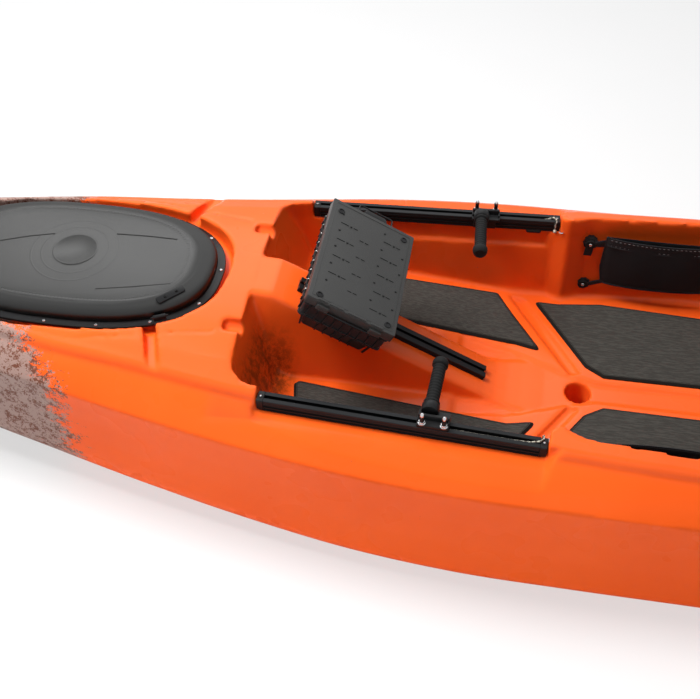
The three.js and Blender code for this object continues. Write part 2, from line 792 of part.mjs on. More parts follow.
// Where the latch stands on the lid's edge, and the way it faces there
const latchAlong = latchX - hatchX;
const latchEdgeY = -hatchLidHalfWidth
  * (1 - (latchAlong / hatchLidHalfLength) ** hatchSquareness) ** (1 / hatchSquareness);
const latchFacing = Math.atan2(
  latchAlong ** (hatchSquareness - 1) / hatchLidHalfLength ** hatchSquareness,
  (-latchEdgeY) ** (hatchSquareness - 1) / hatchLidHalfWidth ** hatchSquareness);
const atLatch = (shape) => shape.rotate([0, 0, THREE.MathUtils.radToDeg(latchFacing)])
  .translate([latchX, latchEdgeY, latchPivotZ]);

function hatchRim() {
  const lipHalfLength = hatchHoleHalfLength - seatGap;
  const lipHalfWidth = hatchHoleHalfWidth - seatGap;
  let rim = solid(slab(oval(hatchX, hatchRimHalfLength, hatchRimHalfWidth), rimLow, rimTop));
  rim = rim.add(solid(slab(oval(hatchX, lipHalfLength, lipHalfWidth),
    rimLow - rimLipHeight, rimLow + rimLipHeight)));
  rim = rim.subtract(solid(slab(oval(hatchX, lipHalfLength - rimLipWall, lipHalfWidth - rimLipWall),
    rimLow - overrun, rimLow + overrun)));
  for (const side of [-1, 1]) {
    const y = side * (hingeBarrelHalf + hingeSideGap + hingeEarLength / 2);
    const height = hingeZ - rimLow;
    const ear = bar([hingeX, y - hingeEarLength / 2, hingeZ], [hingeX, y + hingeEarLength / 2, hingeZ],
      hingeRadius, 12);
    rim = rim.add(ear)
      .add(block(2 * hingeRadius, hingeEarLength, height, hingeX, y, rimLow + height / 2));
  }
  return rim.subtract(hingeLine(overrun, hingePinRadius + hingePinClearance));
}

function hatchGasket() {
  const low = rimLow + rimLipHeight + seatGap;
  const outer = solid(slab(oval(hatchX, hatchHoleHalfLength + gasketOverlap,
    hatchHoleHalfWidth + gasketOverlap, 40), low, low + gasketHeight));
  const inset = rimLipWall + gasketOverlap;
  const inner = solid(slab(oval(hatchX, hatchHoleHalfLength - inset,
    hatchHoleHalfWidth - inset, 40), low - gasketHeight, low + 2 * gasketHeight));
  return outer.subtract(inner);
}

function hatchLid() {
  const low = rimTop + lidSkirtGap;
  const top = hatchLidTop - hatchLidCrown;
  const under = rimLow + rimLipHeight + gasketHeight + 2 * seatGap;
  const ring = (inset, z) => oval(hatchX, hatchLidHalfLength - inset, hatchLidHalfWidth - inset)
    .map(([x, y]) => new THREE.Vector3(x, y, z));
  const shoulder = (top - low) / 2;
  const outer = solid(loft([
    ring(0, low), ring(0, low + shoulder), ring(shoulder * 0.3, low + shoulder * 1.6),
    ring(shoulder, top), ring(hatchLidHalfWidth * 0.34, top + hatchLidCrown * 0.6),
    ring(hatchLidHalfWidth * 0.7, hatchLidTop)]));
  const hollow = (wall) => solid(slab(oval(hatchX, hatchLidHalfLength - wall,
    hatchLidHalfWidth - wall), low - overrun, under));
  const armEnd = hatchX - hatchLidHalfLength + hatchLidSkin;
  const armLow = hingeZ - hingeRadius * 0.3;
  const armHigh = hingeZ + hingeRadius;
  const arm = block(armEnd - hingeX, 2 * hingeBarrelHalf, armHigh - armLow,
    (armEnd + hingeX) / 2, 0, (armLow + armHigh) / 2);
  let lid = outer.add(arm.subtract(hollow(hatchLidSkin)))
    .add(hingeLine(hingeBarrelHalf, hingeRadius));
  for (const side of [-1, 1]) {
    const reach = latchEarReach + latchSetOut + latchBarrelRadius;
    lid = lid.add(atLatch(block(latchEar, reach, 2 * latchBarrelRadius,
      side * (latchWidth / 2 + hingeSideGap + latchEar / 2), latchEarReach - reach / 2, 0)));
  }
  return lid.subtract(hollow(2 * hatchLidSkin))
    .subtract(hingeLine(overrun, hingePinRadius + hingePinClearance))
    .subtract(atLatch(latchLine(latchWidth, latchPinRadius + latchPinClearance)));
}

// The latch hangs from the lid's edge and its foot rests on the rim
const latchLine = (half, radius) =>
  bar([-half, -latchSetOut, 0], [half, -latchSetOut, 0], radius, 12);
function hatchLatch() {
  const face = -latchSetOut - latchBarrelRadius;
  const strap = block(latchWidth, latchStrap, latchDrop, 0, face + latchStrap / 2, -latchDrop / 2);
  const foot = block(latchWidth, latchFootReach + latchStrap, latchStrap,
    0, face + (latchStrap - latchFootReach) / 2, latchStrap / 2 - latchDrop);
  return atLatch(strap.add(foot).add(latchLine(latchWidth / 2, latchBarrelRadius))
    .add(latchLine(latchWidth / 2 + latchEar, latchPinRadius)));
}

add("hatch_rim", hatchRim(), blackPlastic);
add("hatch_gasket", hatchGasket(), blackRubber);
add("hatch_lid", hatchLid(), blackLid);
add("hatch_hinge_pin",
  hingeLine(hingeBarrelHalf + hingeSideGap + hingeEarLength, hingePinRadius), bareSteel);
add("hatch_latch", hatchLatch(), blackPlastic);

// Rails and tracks share one slotted section, drawn as width, height and slot
function slottedSection(width, height, slotWidth, slotDepth) {
  const [w, s] = [width / 2, slotWidth / 2];
  const lip = slotDepth * 0.3;
  const bay = Math.min(s * 2, w - lip);
  return [
    [-w, 0], [w, 0], [w, height], [s, height], [s, height - lip], [bay, height - lip],
    [bay, height - slotDepth], [-bay, height - slotDepth], [-bay, height - lip],
    [-s, height - lip], [-s, height], [-w, height],
  ];
}

// Foot rails: rail, end caps, sliding bracket, grip, two bolts and the release cord
const footGroups = {};
for (const side of [-1, 1]) {
  const group = new THREE.Group();
  group.position.set(railMiddleX, side * railMiddleY, railTop - railHeight);
  group.rotation.z = side * railToe;
  kayak.add(group);
  footGroups[side] = group;
  const name = sideName(side);
  const rail = solid(endSlab(slottedSection(railWidth, railHeight, railSlotWidth, railSlotDepth),
    -railLength / 2, railLength / 2));
  add(`${name}_foot_rail`, rail, darkAluminium, group);
  for (const end of [-1, 1]) {
    const x = end * (railLength / 2 + railCapLength / 2 + seatGap);
    const cap = block(railCapLength, railWidth, railHeight, x, 0, railHeight / 2);
    const step = block(railCapLength, railWidth + 2 * seatGap, railHeight,
      x + end * railCapLength / 2, 0, railHeight * 1.25);
    add(`${name}_rail_${end < 0 ? "front" : "rear"}_cap`, cap.subtract(step), blackPlastic, group);
  }
}

// A bracket rides on the rail, with a boss at its inboard edge that holds the grip
const pegBossLength = 20;
const pegBossRadius = 17;
const pegAxisRise = 14;
const pegSpindleRadius = 6;
const pegGripBore = 6.4;
const pegCollarRadius = 16;
const pegCollarLength = 9;
const pegBoltHeadHeight = 8;
const pegBoltShankRadius = 3;
const pegNutWidth = 13;
const pegNutHeight = 3;
const pegPlateLow = railHeight + seatGap;
const pegPlateTop = pegPlateLow + pegPlateThickness;
const pegBoltY = 6;
const pegGripPlace = -10;
const pegPlateCorner = 8;
const pegPlateOffset = (pegPlateWidth - railWidth) / 2 + 2 * seatGap;

function pegBracket(side) {
  const plate = solid(slab(boxOutline(pegPlateLength, pegPlateWidth, pegPlateCorner),
    pegPlateLow, pegPlateTop)).translate([0, -side * pegPlateOffset, 0]);
  const inner = -side * (pegPlateWidth / 2 + pegPlateOffset);
  const axisZ = pegPlateLow + pegAxisRise;
  const from = inner + side * pegBossLength * 0.6;
  const boss = bar([pegGripPlace, from, axisZ], [pegGripPlace, inner - side * pegBossLength * 0.4, axisZ],
    pegBossRadius, 16);
  const low = block(pegPlateLength * 3, pegPlateWidth * 3, pegPlateLow * 2, 0, 0, 0);
  const spindleEnd = inner - side * (pegBossLength * 0.4 + pegGripLength * 0.8);
  const spindle = bar([pegGripPlace, from, axisZ], [pegGripPlace, spindleEnd, axisZ],
    pegSpindleRadius, 12);
  let bracket = plate.add(boss.subtract(low)).add(spindle);
  for (const end of [-1, 1]) {
    bracket = bracket.subtract(bar([end * pegBoltSpacing / 2, side * pegBoltY, 0],
      [end * pegBoltSpacing / 2, side * pegBoltY, overrun], pegBoltShankRadius + seatGap, 10));
  }
  return bracket;
}

function pegGrip(side) {
  const start = pegPlateWidth / 2 + pegPlateOffset + pegBossLength * 0.4 + seatGap;
  const ribPitch = (pegGripLength - 2 * pegCollarLength) / pegGripRibs;
  const profile = [[pegGripBore, 0], [pegCollarRadius, 0], [pegCollarRadius, pegCollarLength * 0.7]];
  for (let i = 0; i < pegGripRibs; i += 1) {
    const z = pegCollarLength + i * ribPitch;
    profile.push([pegGripRadius * 0.92, z], [pegGripRadius, z + ribPitch * 0.3],
      [pegGripRadius, z + ribPitch * 0.75]);
  }
  profile.push([pegGripRadius * 0.92, pegGripLength - pegCollarLength]);
  profile.push([pegCollarRadius, pegGripLength - pegCollarLength * 0.7]);
  profile.push([pegCollarRadius, pegGripLength - pegCollarLength * 0.25]);
  profile.push([pegCollarRadius * 0.8, pegGripLength], [0, pegGripLength]);
  profile.push([0, pegGripLength * 0.82], [pegGripBore, pegGripLength * 0.82], [pegGripBore, 0]);
  const lathe = new THREE.LatheGeometry(profile.map(([r, z]) => new THREE.Vector2(r, z)), 12);
  if (side > 0) lathe.rotateX(Math.PI);
  lathe.translate(pegGripPlace, -side * start, pegPlateLow + pegAxisRise);
  return solid(lathe);
}

// A domed nut on a shank whose foot turns in the rail's slot
function pegBolt(side, end) {
  const [x, y] = [end * pegBoltSpacing / 2, side * pegBoltY];
  const low = pegPlateTop + seatGap;
  const profile = [[0, 0], [pegBoltRadius, 0], [pegBoltRadius, pegBoltHeadHeight * 0.5],
    [pegBoltRadius * 0.75, pegBoltHeadHeight * 0.85], [0, pegBoltHeadHeight]];
  const head = solid(new THREE.LatheGeometry(
    profile.map(([r, z]) => new THREE.Vector2(r, z)), 12).rotateX(Math.PI / 2).translate(x, y, low));
  const shankLow = railHeight + 2 * seatGap;
  return head.add(bar([x, y, shankLow], [x, y, low + seatGap], pegBoltShankRadius, 10));
}

const pegPlace = { [-1]: portPegPlace, 1: starboardPegPlace };
const cordRadius = 1.6;
for (const side of [-1, 1]) {
  const name = sideName(side);
  const group = new THREE.Group();
  group.position.x = pegPlace[side];
  footGroups[side].add(group);
  add(`${name}_peg_bracket`, pegBracket(side), blackPlastic, group);
  add(`${name}_peg_grip`, pegGrip(side), blackRubber, group);
  add(`${name}_peg_front_bolt`, pegBolt(side, -1), bareSteel, group);
  add(`${name}_peg_rear_bolt`, pegBolt(side, 1), bareSteel, group);
}

// Foam deck pads, cut to the floor with a drain groove between them
const padThickness = 6;
const padEdge = 12;
const frontPadRear = -153;
const frontPadLength = 519;
const rearPadFront = -180;
const rearPadLength = 480;
const padInset = 151;
const padHalfWidth = hullHalfBeam - padInset;
// Corners: shares of a pad's length aft to fore or fore to aft, shares of the half width, radii
const frontPadShares = [
  [0, 0.363, 0.3], [0.123, 0.416, 1.2], [0.981, 0.423, 1], [1, 0.463, 1],
  [0.958, 0.879, 1], [0.216, 0.968, 1],
];
const rearPadShares = [
  [0.342, 0.153, 0.8], [0.256, 0.249, 1.2], [0, 0.932, 1], [0.117, 0.925, 1], [0.32, 0.98, 1],
  [0.791, 0.936, 1], [1, 0.922, 1], [1, 0.164, 1],
];
const padShapes = {
  front: frontPadShares.map(([x, y, r]) =>
    [frontPadRear - x * frontPadLength, y * padHalfWidth, r * padEdge]),
  rear: rearPadShares.map(([x, y, r]) =>
    [rearPadFront + x * rearPadLength, y * padHalfWidth, r * padEdge]),
};
function floorSheet() {
  const low = floorHeight + seatGap;
  const high = low + padThickness;
  const rise = footwellRise;
  const profile = [
    [seatFrontX, low], [footwellBend, low], [footwellFront, low + rise],
    [footwellFront, high + rise], [footwellBend, high], [seatFrontX, high],
  ];
  return solid(sideSlab(profile, -hullHalfBeam, hullHalfBeam));
}
for (const side of [-1, 1]) {
  for (const [place, shape] of Object.entries(padShapes)) {
    const outline = roundedOutline(shape.map(([x, y, r]) => [x, side * y, r]), 3);
    const pad = solid(slab(outline, 0, hullHalfBeam)).intersect(floorSheet());
    add(`${sideName(side)}_${place}_pad`, pad, greyFoam);
  }
}

// Everything on the ramp is placed along it, across it and above the track's top
const ramp = new THREE.Group();
ramp.position.set(rampOriginX, 0, rampOriginZ);
ramp.rotation.y = rampAngle;
kayak.add(ramp);

function consoleTrack() {
  const section = slottedSection(trackWidth, trackHeight, railSlotWidth, railSlotDepth)
    .map(([y, z]) => [y, z - trackHeight]);
  return solid(endSlab(section, trackFrontPlace, trackRearPlace));
}
add("console_track", consoleTrack(), darkAluminium, ramp);

// Tackle box: clamp plate on the track, hollow tapered body, hinged lid and side latch
const boxFrontX = boxMiddlePlace - boxLidLength / 2;
const boxFrame = (inset, extra = 0) => (z) => [
  [-1, -1], [1, -1], [1, 1], [-1, 1],
].map(([i, j]) => new THREE.Vector3(
  boxMiddlePlace + i * (boxLidLength / 2 - inset), j * (boxLidWidth / 2 - inset - extra), z));
const boxRim = boxTop - boxLidThickness;
const boxRimInset = 5;
const boxTierZ = boxRim - boxTierHeight;
const boxPlateGap = seatGap;

function tackleBoxBody() {
  const outer = solid(loft([
    boxFrame(boxTaper, boxTaper * 0.4)(boxBottom), boxFrame(boxRimInset * 1.6)(boxTierZ),
    boxFrame(boxRimInset)(boxTierZ + boxRimInset), boxFrame(boxRimInset)(boxRim)]));
  const floor = boxBottom + boxWall;
  const inner = solid(loft([
    boxFrame(boxTaper + boxWall, boxTaper * 0.4)(floor),
    boxFrame(boxRimInset * 1.6 + boxWall)(boxTierZ),
    boxFrame(boxRimInset + boxWall)(boxTierZ + boxRimInset),
    boxFrame(boxRimInset + boxWall)(boxRim + overrun)]));
  let body = outer.subtract(inner);
  for (const end of [-1, 1]) {
    const x = boxMiddlePlace + end * boxLugPlace;
    body = body.add(boxKnuckle(x - boxLugLength / 2, x + boxLugLength / 2, -1));
  }
  return body.subtract(boxHingeLine(boxLidLength, boxPinRadius + seatGap));
}

const boxLugPlace = 62;
const boxLugLength = 16;
const boxKnuckleRadius = 5.5;
const boxPinRadius = 2.2;
const boxHingeY = -(boxLidWidth / 2 + boxKnuckleRadius * 0.6);
const boxHingeZ = boxRim;
const boxHingeLine = (half, radius) => bar([boxMiddlePlace - half, boxHingeY, boxHingeZ],
  [boxMiddlePlace + half, boxHingeY, boxHingeZ], radius, 12);

// One knuckle of the lid's hinge with the web that ties it to the body below or the lid above
function boxKnuckle(from, to, way) {
  const barrel = bar([from, boxHingeY, boxHingeZ], [to, boxHingeY, boxHingeZ], boxKnuckleRadius, 12);
  const depth = boxRimInset + boxKnuckleRadius;
  const web = block(to - from, depth, boxKnuckleRadius * 2, (from + to) / 2,
    boxHingeY + depth / 2, boxHingeZ + way * boxKnuckleRadius);
  return barrel.add(web);
}

function tackleBoxLid() {
  const low = boxRim + seatGap;
  const skirtLow = boxRim - boxRimInset * 0.8;
  const outer = solid(loft([
    boxFrame(0)(skirtLow), boxFrame(0)(boxTop - boxRimInset), boxFrame(boxRimInset * 0.6)(boxTop)]));
  const rimSpace = solid(loft([
    boxFrame(boxRimInset - 2 * seatGap)(skirtLow - overrun), boxFrame(boxRimInset - 2 * seatGap)(low)]));
  const hollow = solid(loft([
    boxFrame(boxRimInset + boxWall)(low - overrun), boxFrame(boxRimInset + boxWall)(boxTop - boxWall)]));
  let lid = outer.subtract(rimSpace).subtract(hollow);
  for (const end of [-1, 1]) {
    const x = boxMiddlePlace + end * boxLugPlace;
    const relief = 2 * boxKnuckleRadius + hingeSideGap;
    lid = lid.subtract(block(boxLugLength + 2 * hingeSideGap, 2 * relief, 2 * relief,
      x, boxHingeY, boxHingeZ));
  }
  const hingeEdge = block(boxLidLength + overrun, 2 * boxRimInset + seatGap, overrun,
    boxMiddlePlace, -boxLidWidth / 2, low - overrun / 2);
  lid = lid.subtract(hingeEdge);
  const half = boxLugPlace - boxLugLength / 2 - hingeSideGap;
  lid = lid.add(boxKnuckle(boxMiddlePlace - half, boxMiddlePlace + half, 1).subtract(rimSpace));
  return lid.subtract(boxHingeLine(boxLidLength, boxPinRadius + seatGap));
}

function boxBase() {
  const low = seatGap;
  const high = boxBottom - boxPlateGap;
  const plate = solid(slab(boxOutline(boxBaseLength, boxBaseWidth, 12), low, high));
  return plate.translate([boxMiddlePlace, 0, 0]);
}

// A toggle latch on the starboard edge: its lever stands off the lid and hooks the body
const boxLatchWidth = 52;
const boxLatchThickness = 5;
const boxLatchDrop = 26;
const boxLatchLift = 17;
const boxLatchY = boxLidWidth / 2 + seatGap + boxLatchThickness / 2;
const boxLatchZ = boxTop - boxLidThickness * 0.4;
function boxLatch() {
  const plate = block(boxLatchWidth, boxLatchThickness, boxLatchDrop,
    boxMiddlePlace, boxLatchY, boxLatchZ - boxLatchDrop / 2);
  const tab = block(boxLatchWidth * 0.7, boxLatchLift, boxLatchThickness,
    boxMiddlePlace, boxLatchY + boxLatchLift / 2, boxLatchZ - boxLatchDrop + boxLatchThickness / 2);
  const half = boxLatchWidth / 2;
  const barrel = bar([boxMiddlePlace - half, boxLatchY, boxLatchZ],
    [boxMiddlePlace + half, boxLatchY, boxLatchZ], boxLatchThickness / 2, 12);
  return plate.add(tab).add(barrel);
}

add("box_track_plate", boxBase(), blackPlastic, ramp);
add("tackle_box", tackleBoxBody(), blackPlastic, ramp);
add("tackle_box_lid", tackleBoxLid(), blackLid, ramp);
add("box_hinge_pin", boxHingeLine(boxLugPlace + boxLugLength / 2, boxPinRadius), bareSteel, ramp);
add("box_latch", boxLatch(), blackPlastic, ramp);

// The lashing cord along the bow side of the box, in shallow waves under the lid
const lashRadius = 3;
const lashWaves = 9;
const lashSwing = 3.5;
function boxLash() {
  const x = boxMiddlePlace - boxLidLength / 2 + boxRimInset - seatGap - lashRadius;
  const z = boxRim - boxRimInset - lashSwing - lashRadius;
  const reach = boxLidWidth * 0.42;
  const points = [];
  for (let i = 0; i <= 2 * lashWaves; i += 1) {
    const y = reach * (i / lashWaves - 1);
    points.push([x, y, z + lashSwing * (i % 2 ? 1 : -1)]);
  }
  return tube(points, lashRadius, 8, 4 * lashWaves);
}
add("box_lash_cord", boxLash(), paleCord, ramp);

// Release cord: lies in the rail's slot and hangs over its rear cap in a knot
const knotRadius = 4.5;
for (const side of [-1, 1]) {
  const slotFloor = railHeight - railSlotDepth + seatGap + cordRadius;
  const capX = railLength / 2 + railCapLength * 0.25;
  const over = railHeight + 3 * seatGap + cordRadius;
  const inner = -side * (railWidth / 2 + knotRadius + 2 * seatGap);
  const points = [
    [railLength * 0.18, 0, slotFloor], [railLength * 0.3, 0, slotFloor],
    [railLength * 0.4, 0, slotFloor], [railLength * 0.46, 0, slotFloor + cordRadius],
    [capX - railCapLength * 0.3, 0, over], [capX + railCapLength * 0.1, inner * 0.4, over],
    [capX + railCapLength * 0.1, inner * 0.86, over],
    [capX, inner, railHeight * 0.85], [capX, inner, railHeight * 0.3],
  ];
  const knot = new THREE.SphereGeometry(knotRadius, 8, 5)
    .translate(capX, inner, railHeight * 0.3);
  add(`${sideName(side)}_release_cord`,
    solid(tube(points, cordRadius, 8, 24)).add(solid(knot)), paleCord, footGroups[side]);
}

// Open-topped side pouches in the recesses, each buttoned to the wall by two knobs
const pouchLength = 260;
const knobToPouch = 28;
const knobX = railRearX + 2.44 * pinchX;
const pouchFront = knobX + knobToPouch;
const pouchRear = pouchFront + pouchLength;
const pouchLow = 202;
const pouchHigh = 338;
const pouchDepth = 58;
const pouchBackPad = 29;
const pouchInner = recessHalf - pouchDepth;
const pouchBack = recessHalf - pouchBackPad;
const pouchWall = 3;
const pouchCorner = 14;
const knobRadius = 17;
const knobDepth = 15;
const knobHeights = { upper: 312, lower: 190 };
// Rows up a pouch: share of its height, share of the depth drawn in, share of the corner drawn in
const pouchShares = [[0, 0.75, 0.6], [0.12, 0.2, 0.15], [0.45, 0, 0], [0.85, 0.15, 0.15], [1, 0.3, 0.3]];
const pouchRing = (side, share, drawn, ends, back, wall) => {
  const inner = pouchInner + drawn * (recessHalf - pinchDepth - pouchInner) + wall;
  const [x0, x1] = [pouchFront + ends * pouchCorner + wall, pouchRear - ends * pouchCorner - wall];
  const corner = pouchCorner - wall;
  return roundedOutline([[x0, back, 0], [x0, inner, corner], [x1, inner, corner], [x1, back, 0]], 3)
    .map(([x, y]) => new THREE.Vector3(x, side * y, pouchLow + share * (pouchHigh - pouchLow)));
};
for (const side of [-1, 1]) {
  const name = sideName(side);
  const outer = solid(loft(pouchShares.map(([share, drawn, ends]) =>
    pouchRing(side, share, drawn, ends, recessHalf + seatGap, 0))));
  const pocketShares = pouchShares.slice(1, -1);
  const pocket = solid(loft([...pocketShares, [1.2, 0.3, 0.3]].map(([share, drawn, ends]) =>
    pouchRing(side, share, drawn, ends, pouchBack, pouchWall))));
  add(`${name}_pouch`, seated(outer.subtract(pocket), [0, -side, 0]), blackFabric);
  for (const [place, z] of Object.entries(knobHeights)) {
    const foot = recessHalf;
    const face = recessHalf - pinchDepth - knobDepth;
    const knob = bar([knobX, side * foot, z], [knobX, side * face, z], knobRadius, 20)
      .add(bar([knobX, side * foot, z], [knobX, side * (face - knobDepth * 0.3), z],
        knobRadius * 0.7, 20));
    add(`${name}_${place}_knob`, seated(knob, [0, -side, 0]), blackPlastic);
  }
}

// Tracks on the gunwales beside the seat
for (const side of [-1, 1]) {
  const section = slottedSection(trackWidth, trackHeight, railSlotWidth, railSlotDepth)
    .map(([y, z]) => [y + side * gearTrackY, z + gearLandHeight + seatGap]);
  add(`${sideName(side)}_gear_track`, solid(endSlab(section, gearTrackFront, gearTrackRear)),
    darkAluminium);
}

// Rod holders: flanged tubes in the rear deck, each with a hinged cap
const rodCapRadius = 31;
const rodCapThickness = 6;
const rodPlugDepth = 5;
const rodHingeRadius = 4;
const rodHingePlace = rodFlangeRadius - rodHingeRadius;
const rodHingeHeight = rodFlangeThickness + rodHingeRadius + 2 * seatGap;
const rodHingeHalf = 9;
const rodHingeEar = 5;
const rodPinRadius = 1.6;
for (const side of [-1, 1]) {
  const name = sideName(side);
  const bore = rodTubeRadius - rodTubeWall;
  const flange = bar([0, 0, seatGap], [0, 0, rodFlangeThickness], rodFlangeRadius, 24);
  const sleeve = bar([0, 0, -rodTubeLength], [0, 0, seatGap], rodTubeRadius, 18);
  const hole = bar([0, 0, rodTubeWall - rodTubeLength], [0, 0, overrun], bore, 18);
  const hinge = (from, to, radius) => bar([rodHingePlace, from, rodHingeHeight],
    [rodHingePlace, to, rodHingeHeight], radius, 12);
  let holder = flange.add(sleeve);
  for (const end of [-1, 1]) {
    const near = end * (rodHingeHalf + hingeSideGap);
    const far = near + end * rodHingeEar;
    holder = holder.add(hinge(near, far, rodHingeRadius))
      .add(block(2 * rodHingeRadius, rodHingeEar, rodHingeHeight, rodHingePlace,
        (near + far) / 2, rodHingeHeight / 2));
  }
  holder = holder.subtract(hole)
    .subtract(hinge(-overrun, overrun, rodPinRadius + hingePinClearance));
  const low = rodFlangeThickness + seatGap;
  const disc = bar([0, 0, low], [0, 0, low + rodCapThickness], rodCapRadius, 24);
  const plug = solid(new THREE.CylinderGeometry(bore - 1, bore - 3, rodPlugDepth + seatGap, 18)
    .rotateX(Math.PI / 2).translate(0, 0, low - (rodPlugDepth - seatGap) / 2));
  const web = block(rodHingePlace - rodCapRadius * 0.8, 2 * rodHingeHalf, rodCapThickness * 0.6,
    (rodHingePlace + rodCapRadius * 0.8) / 2, 0, rodHingeHeight + rodHingeRadius * 0.4);
  const cap = disc.add(plug).add(web).add(hinge(-rodHingeHalf, rodHingeHalf, rodHingeRadius))
    .add(hinge(-rodHingeHalf - rodHingeEar, rodHingeHalf + rodHingeEar, rodPinRadius));
  add(`${name}_rod_holder`, leanAsRodHolder(holder, side), blackPlastic);
  add(`${name}_rod_holder_cap`, leanAsRodHolder(cap, side), blackRubber);
}

// Moulded carry handles on the bow and stern decks
const handleSpan = 132;
const handleRise = 34;
const handleRadius = 9;
const handleFoot = 17;
const bowHandleReach = 252;
const sternHandleReach = 105;
const handlePlaces = { bow: bowHandleReach - hullLength / 2, stern: hullLength / 2 - sternHandleReach };
for (const [place, x] of Object.entries(handlePlaces)) {
  const base = deckHeight(x);
  const half = handleSpan / 2;
  const grip = bentBar([
    [x - half, 0, base - overrun], [x - half, 0, base + handleRise],
    [x + half, 0, base + handleRise], [x + half, 0, base - overrun]], handleRise * 0.7, handleRadius, 10);
  const feet = [-half, half].map((reach) =>
    bar([x + reach, 0, base - overrun], [x + reach, 0, base + handleRadius * 0.6], handleFoot, 20));
  const whole = wasm.Manifold.union([grip, ...feet]);
  const above = whole.subtract(outerHull.translate([0, 0, seatGap]));
  add(`${place}_handle`, biggest(above), blackPlastic);
}

// Side handles: a bail that lies on the flank and swings up, on a plate with two ears
const sideHandleX = 320;
const sideHandleSpan = 150;
const sideHandlePlace = 0.16;
const sideBailRadius = 7;
const sideBailDrop = 46;
const sidePlate = 4;
const sidePlateHalf = 12;
const sideEarLength = 9;
const sidePinRadius = 4;
const sideAxisHeight = sidePlate + sideBailRadius + 2 * seatGap;
const sideLines = hullLines(sideHandleX);
const flankRun = sideLines.beam - sideLines.gunwale;
const flankFall = flankDrop - gunwaleRadius;

// Places a piece drawn on a level plate, its y down the flank, on one side of the hull
function onFlank(shape, side) {
  const placed = shape.rotate([-THREE.MathUtils.radToDeg(Math.atan2(flankFall, flankRun)), 0, 0])
    .translate([sideHandleX, sideLines.gunwale + flankRun * sideHandlePlace,
      sideLines.sheer - gunwaleRadius - flankFall * sideHandlePlace]);
  return side < 0 ? placed.mirror([0, 1, 0]) : placed;
}
const sideAxis = (from, to, radius) =>
  bar([from, 0, sideAxisHeight], [to, 0, sideAxisHeight], radius, 12);
const sideHalf = sideHandleSpan / 2;
const sideEarNear = sideHalf + sideBailRadius + hingeSideGap;

function sideHandleMount() {
  const length = 2 * (sideEarNear + sideEarLength);
  const thickness = sidePlate + sideBailRadius;
  let mount = block(length, 2 * sidePlateHalf, thickness, 0, 0, sidePlate - thickness / 2);
  for (const end of [-1, 1]) {
    const [near, far] = [end * sideEarNear, end * (sideEarNear + sideEarLength)];
    mount = mount.add(sideAxis(near, far, sideBailRadius + 1))
      .add(block(sideEarLength, 2 * (sideBailRadius + 1), sideAxisHeight, (near + far) / 2, 0,
        sideAxisHeight / 2));
  }
  return mount.subtract(sideAxis(-length, length, sidePinRadius + hingePinClearance));
}

function sideHandle() {
  const bail = bentBar([
    [-sideHalf, 0, sideAxisHeight], [-sideHalf, sideBailDrop, sideAxisHeight],
    [sideHalf, sideBailDrop, sideAxisHeight], [sideHalf, 0, sideAxisHeight]],
  sideBailRadius * 2, sideBailRadius, 10);
  const ends = [-1, 1].flatMap((end) => [
    sideAxis(end * (sideHalf - sideBailRadius), end * (sideEarNear - hingeSideGap), sideBailRadius),
    sideAxis(end * sideHalf, end * (sideEarNear + sideEarLength), sidePinRadius)]);
  return wasm.Manifold.union([bail, ...ends]);
}
for (const side of [-1, 1]) {
  add(`${sideName(side)}_handle_mount`,
    seated(onFlank(sideHandleMount(), side), [0, side, 0]), blackPlastic);
  add(`${sideName(side)}_side_handle`, onFlank(sideHandle(), side), blackRubber);
}

// Drain plug in the stern deck
const plugCapHeight = 9;
const plugDepth = 16;
function drainPlug() {
  const low = plugLandHeight + seatGap;
  const cap = bar([drainPlugX, 0, low], [drainPlugX, 0, low + plugCapHeight], drainCapRadius, 20);
  const shank = bar([drainPlugX, 0, low - plugDepth], [drainPlugX, 0, low], drainPlugRadius, 20);
  const slot = block(drainCapRadius * 1.4, plugCapHeight * 0.5, plugCapHeight,
    drainPlugX, 0, low + plugCapHeight);
  return cap.add(shank).subtract(slot);
}
add("drain_plug", drainPlug(), blackPlastic);

// Lashing over the tankwell, held in posts on the deck beside it
const postRadius = 8;
const postRise = 16;
const postInset = 26;
const bungeeRadius = 3.5;
function tankwellLashing() {
  const edge = (x) => postInset + tankwellFrontHalf
    + ((tankwellRearHalf - tankwellFrontHalf) * (x - tankwellFront)) / (tankwellRear - tankwellFront);
  const xs = [0.05, 0.35, 0.65, 0.93].map((share) =>
    tankwellFront + share * (tankwellRear - tankwellFront));
  const top = Math.max(...xs.map((x) => deckHeight(x))) + postRise * 0.3;
  const posts = [];
  const run = [];
  xs.forEach((x, i) => {
    for (const side of [-1, 1]) {
      const y = side * edge(x);
      const post = bar([x, y, gunwaleHeight - overrun], [x, y, top + postRise * 0.4], postRadius, 10);
      posts.push(post.subtract(outerHull.translate([0, 0, seatGap])));
    }
    run.push([x, (i % 2 ? 1 : -1) * edge(x), top - postRise * 0.2]);
  });
  const back = xs.map((x, i) => [x, (i % 2 ? -1 : 1) * edge(x), top - postRise * 0.2 + 2.2 * bungeeRadius])
    .reverse();
  const cords = [];
  for (let i = 0; i + 1 < run.length; i += 1) {
    cords.push(bar(run[i], run[i + 1], bungeeRadius, 6), bar(back[i], back[i + 1], bungeeRadius, 6));
  }
  cords.push(bar(run[0], [run[0][0], -run[0][1], run[0][2]], bungeeRadius, 8));
  return wasm.Manifold.union([...posts, ...cords]);
}
add("tankwell_lashing", tankwellLashing(), blackRubber);

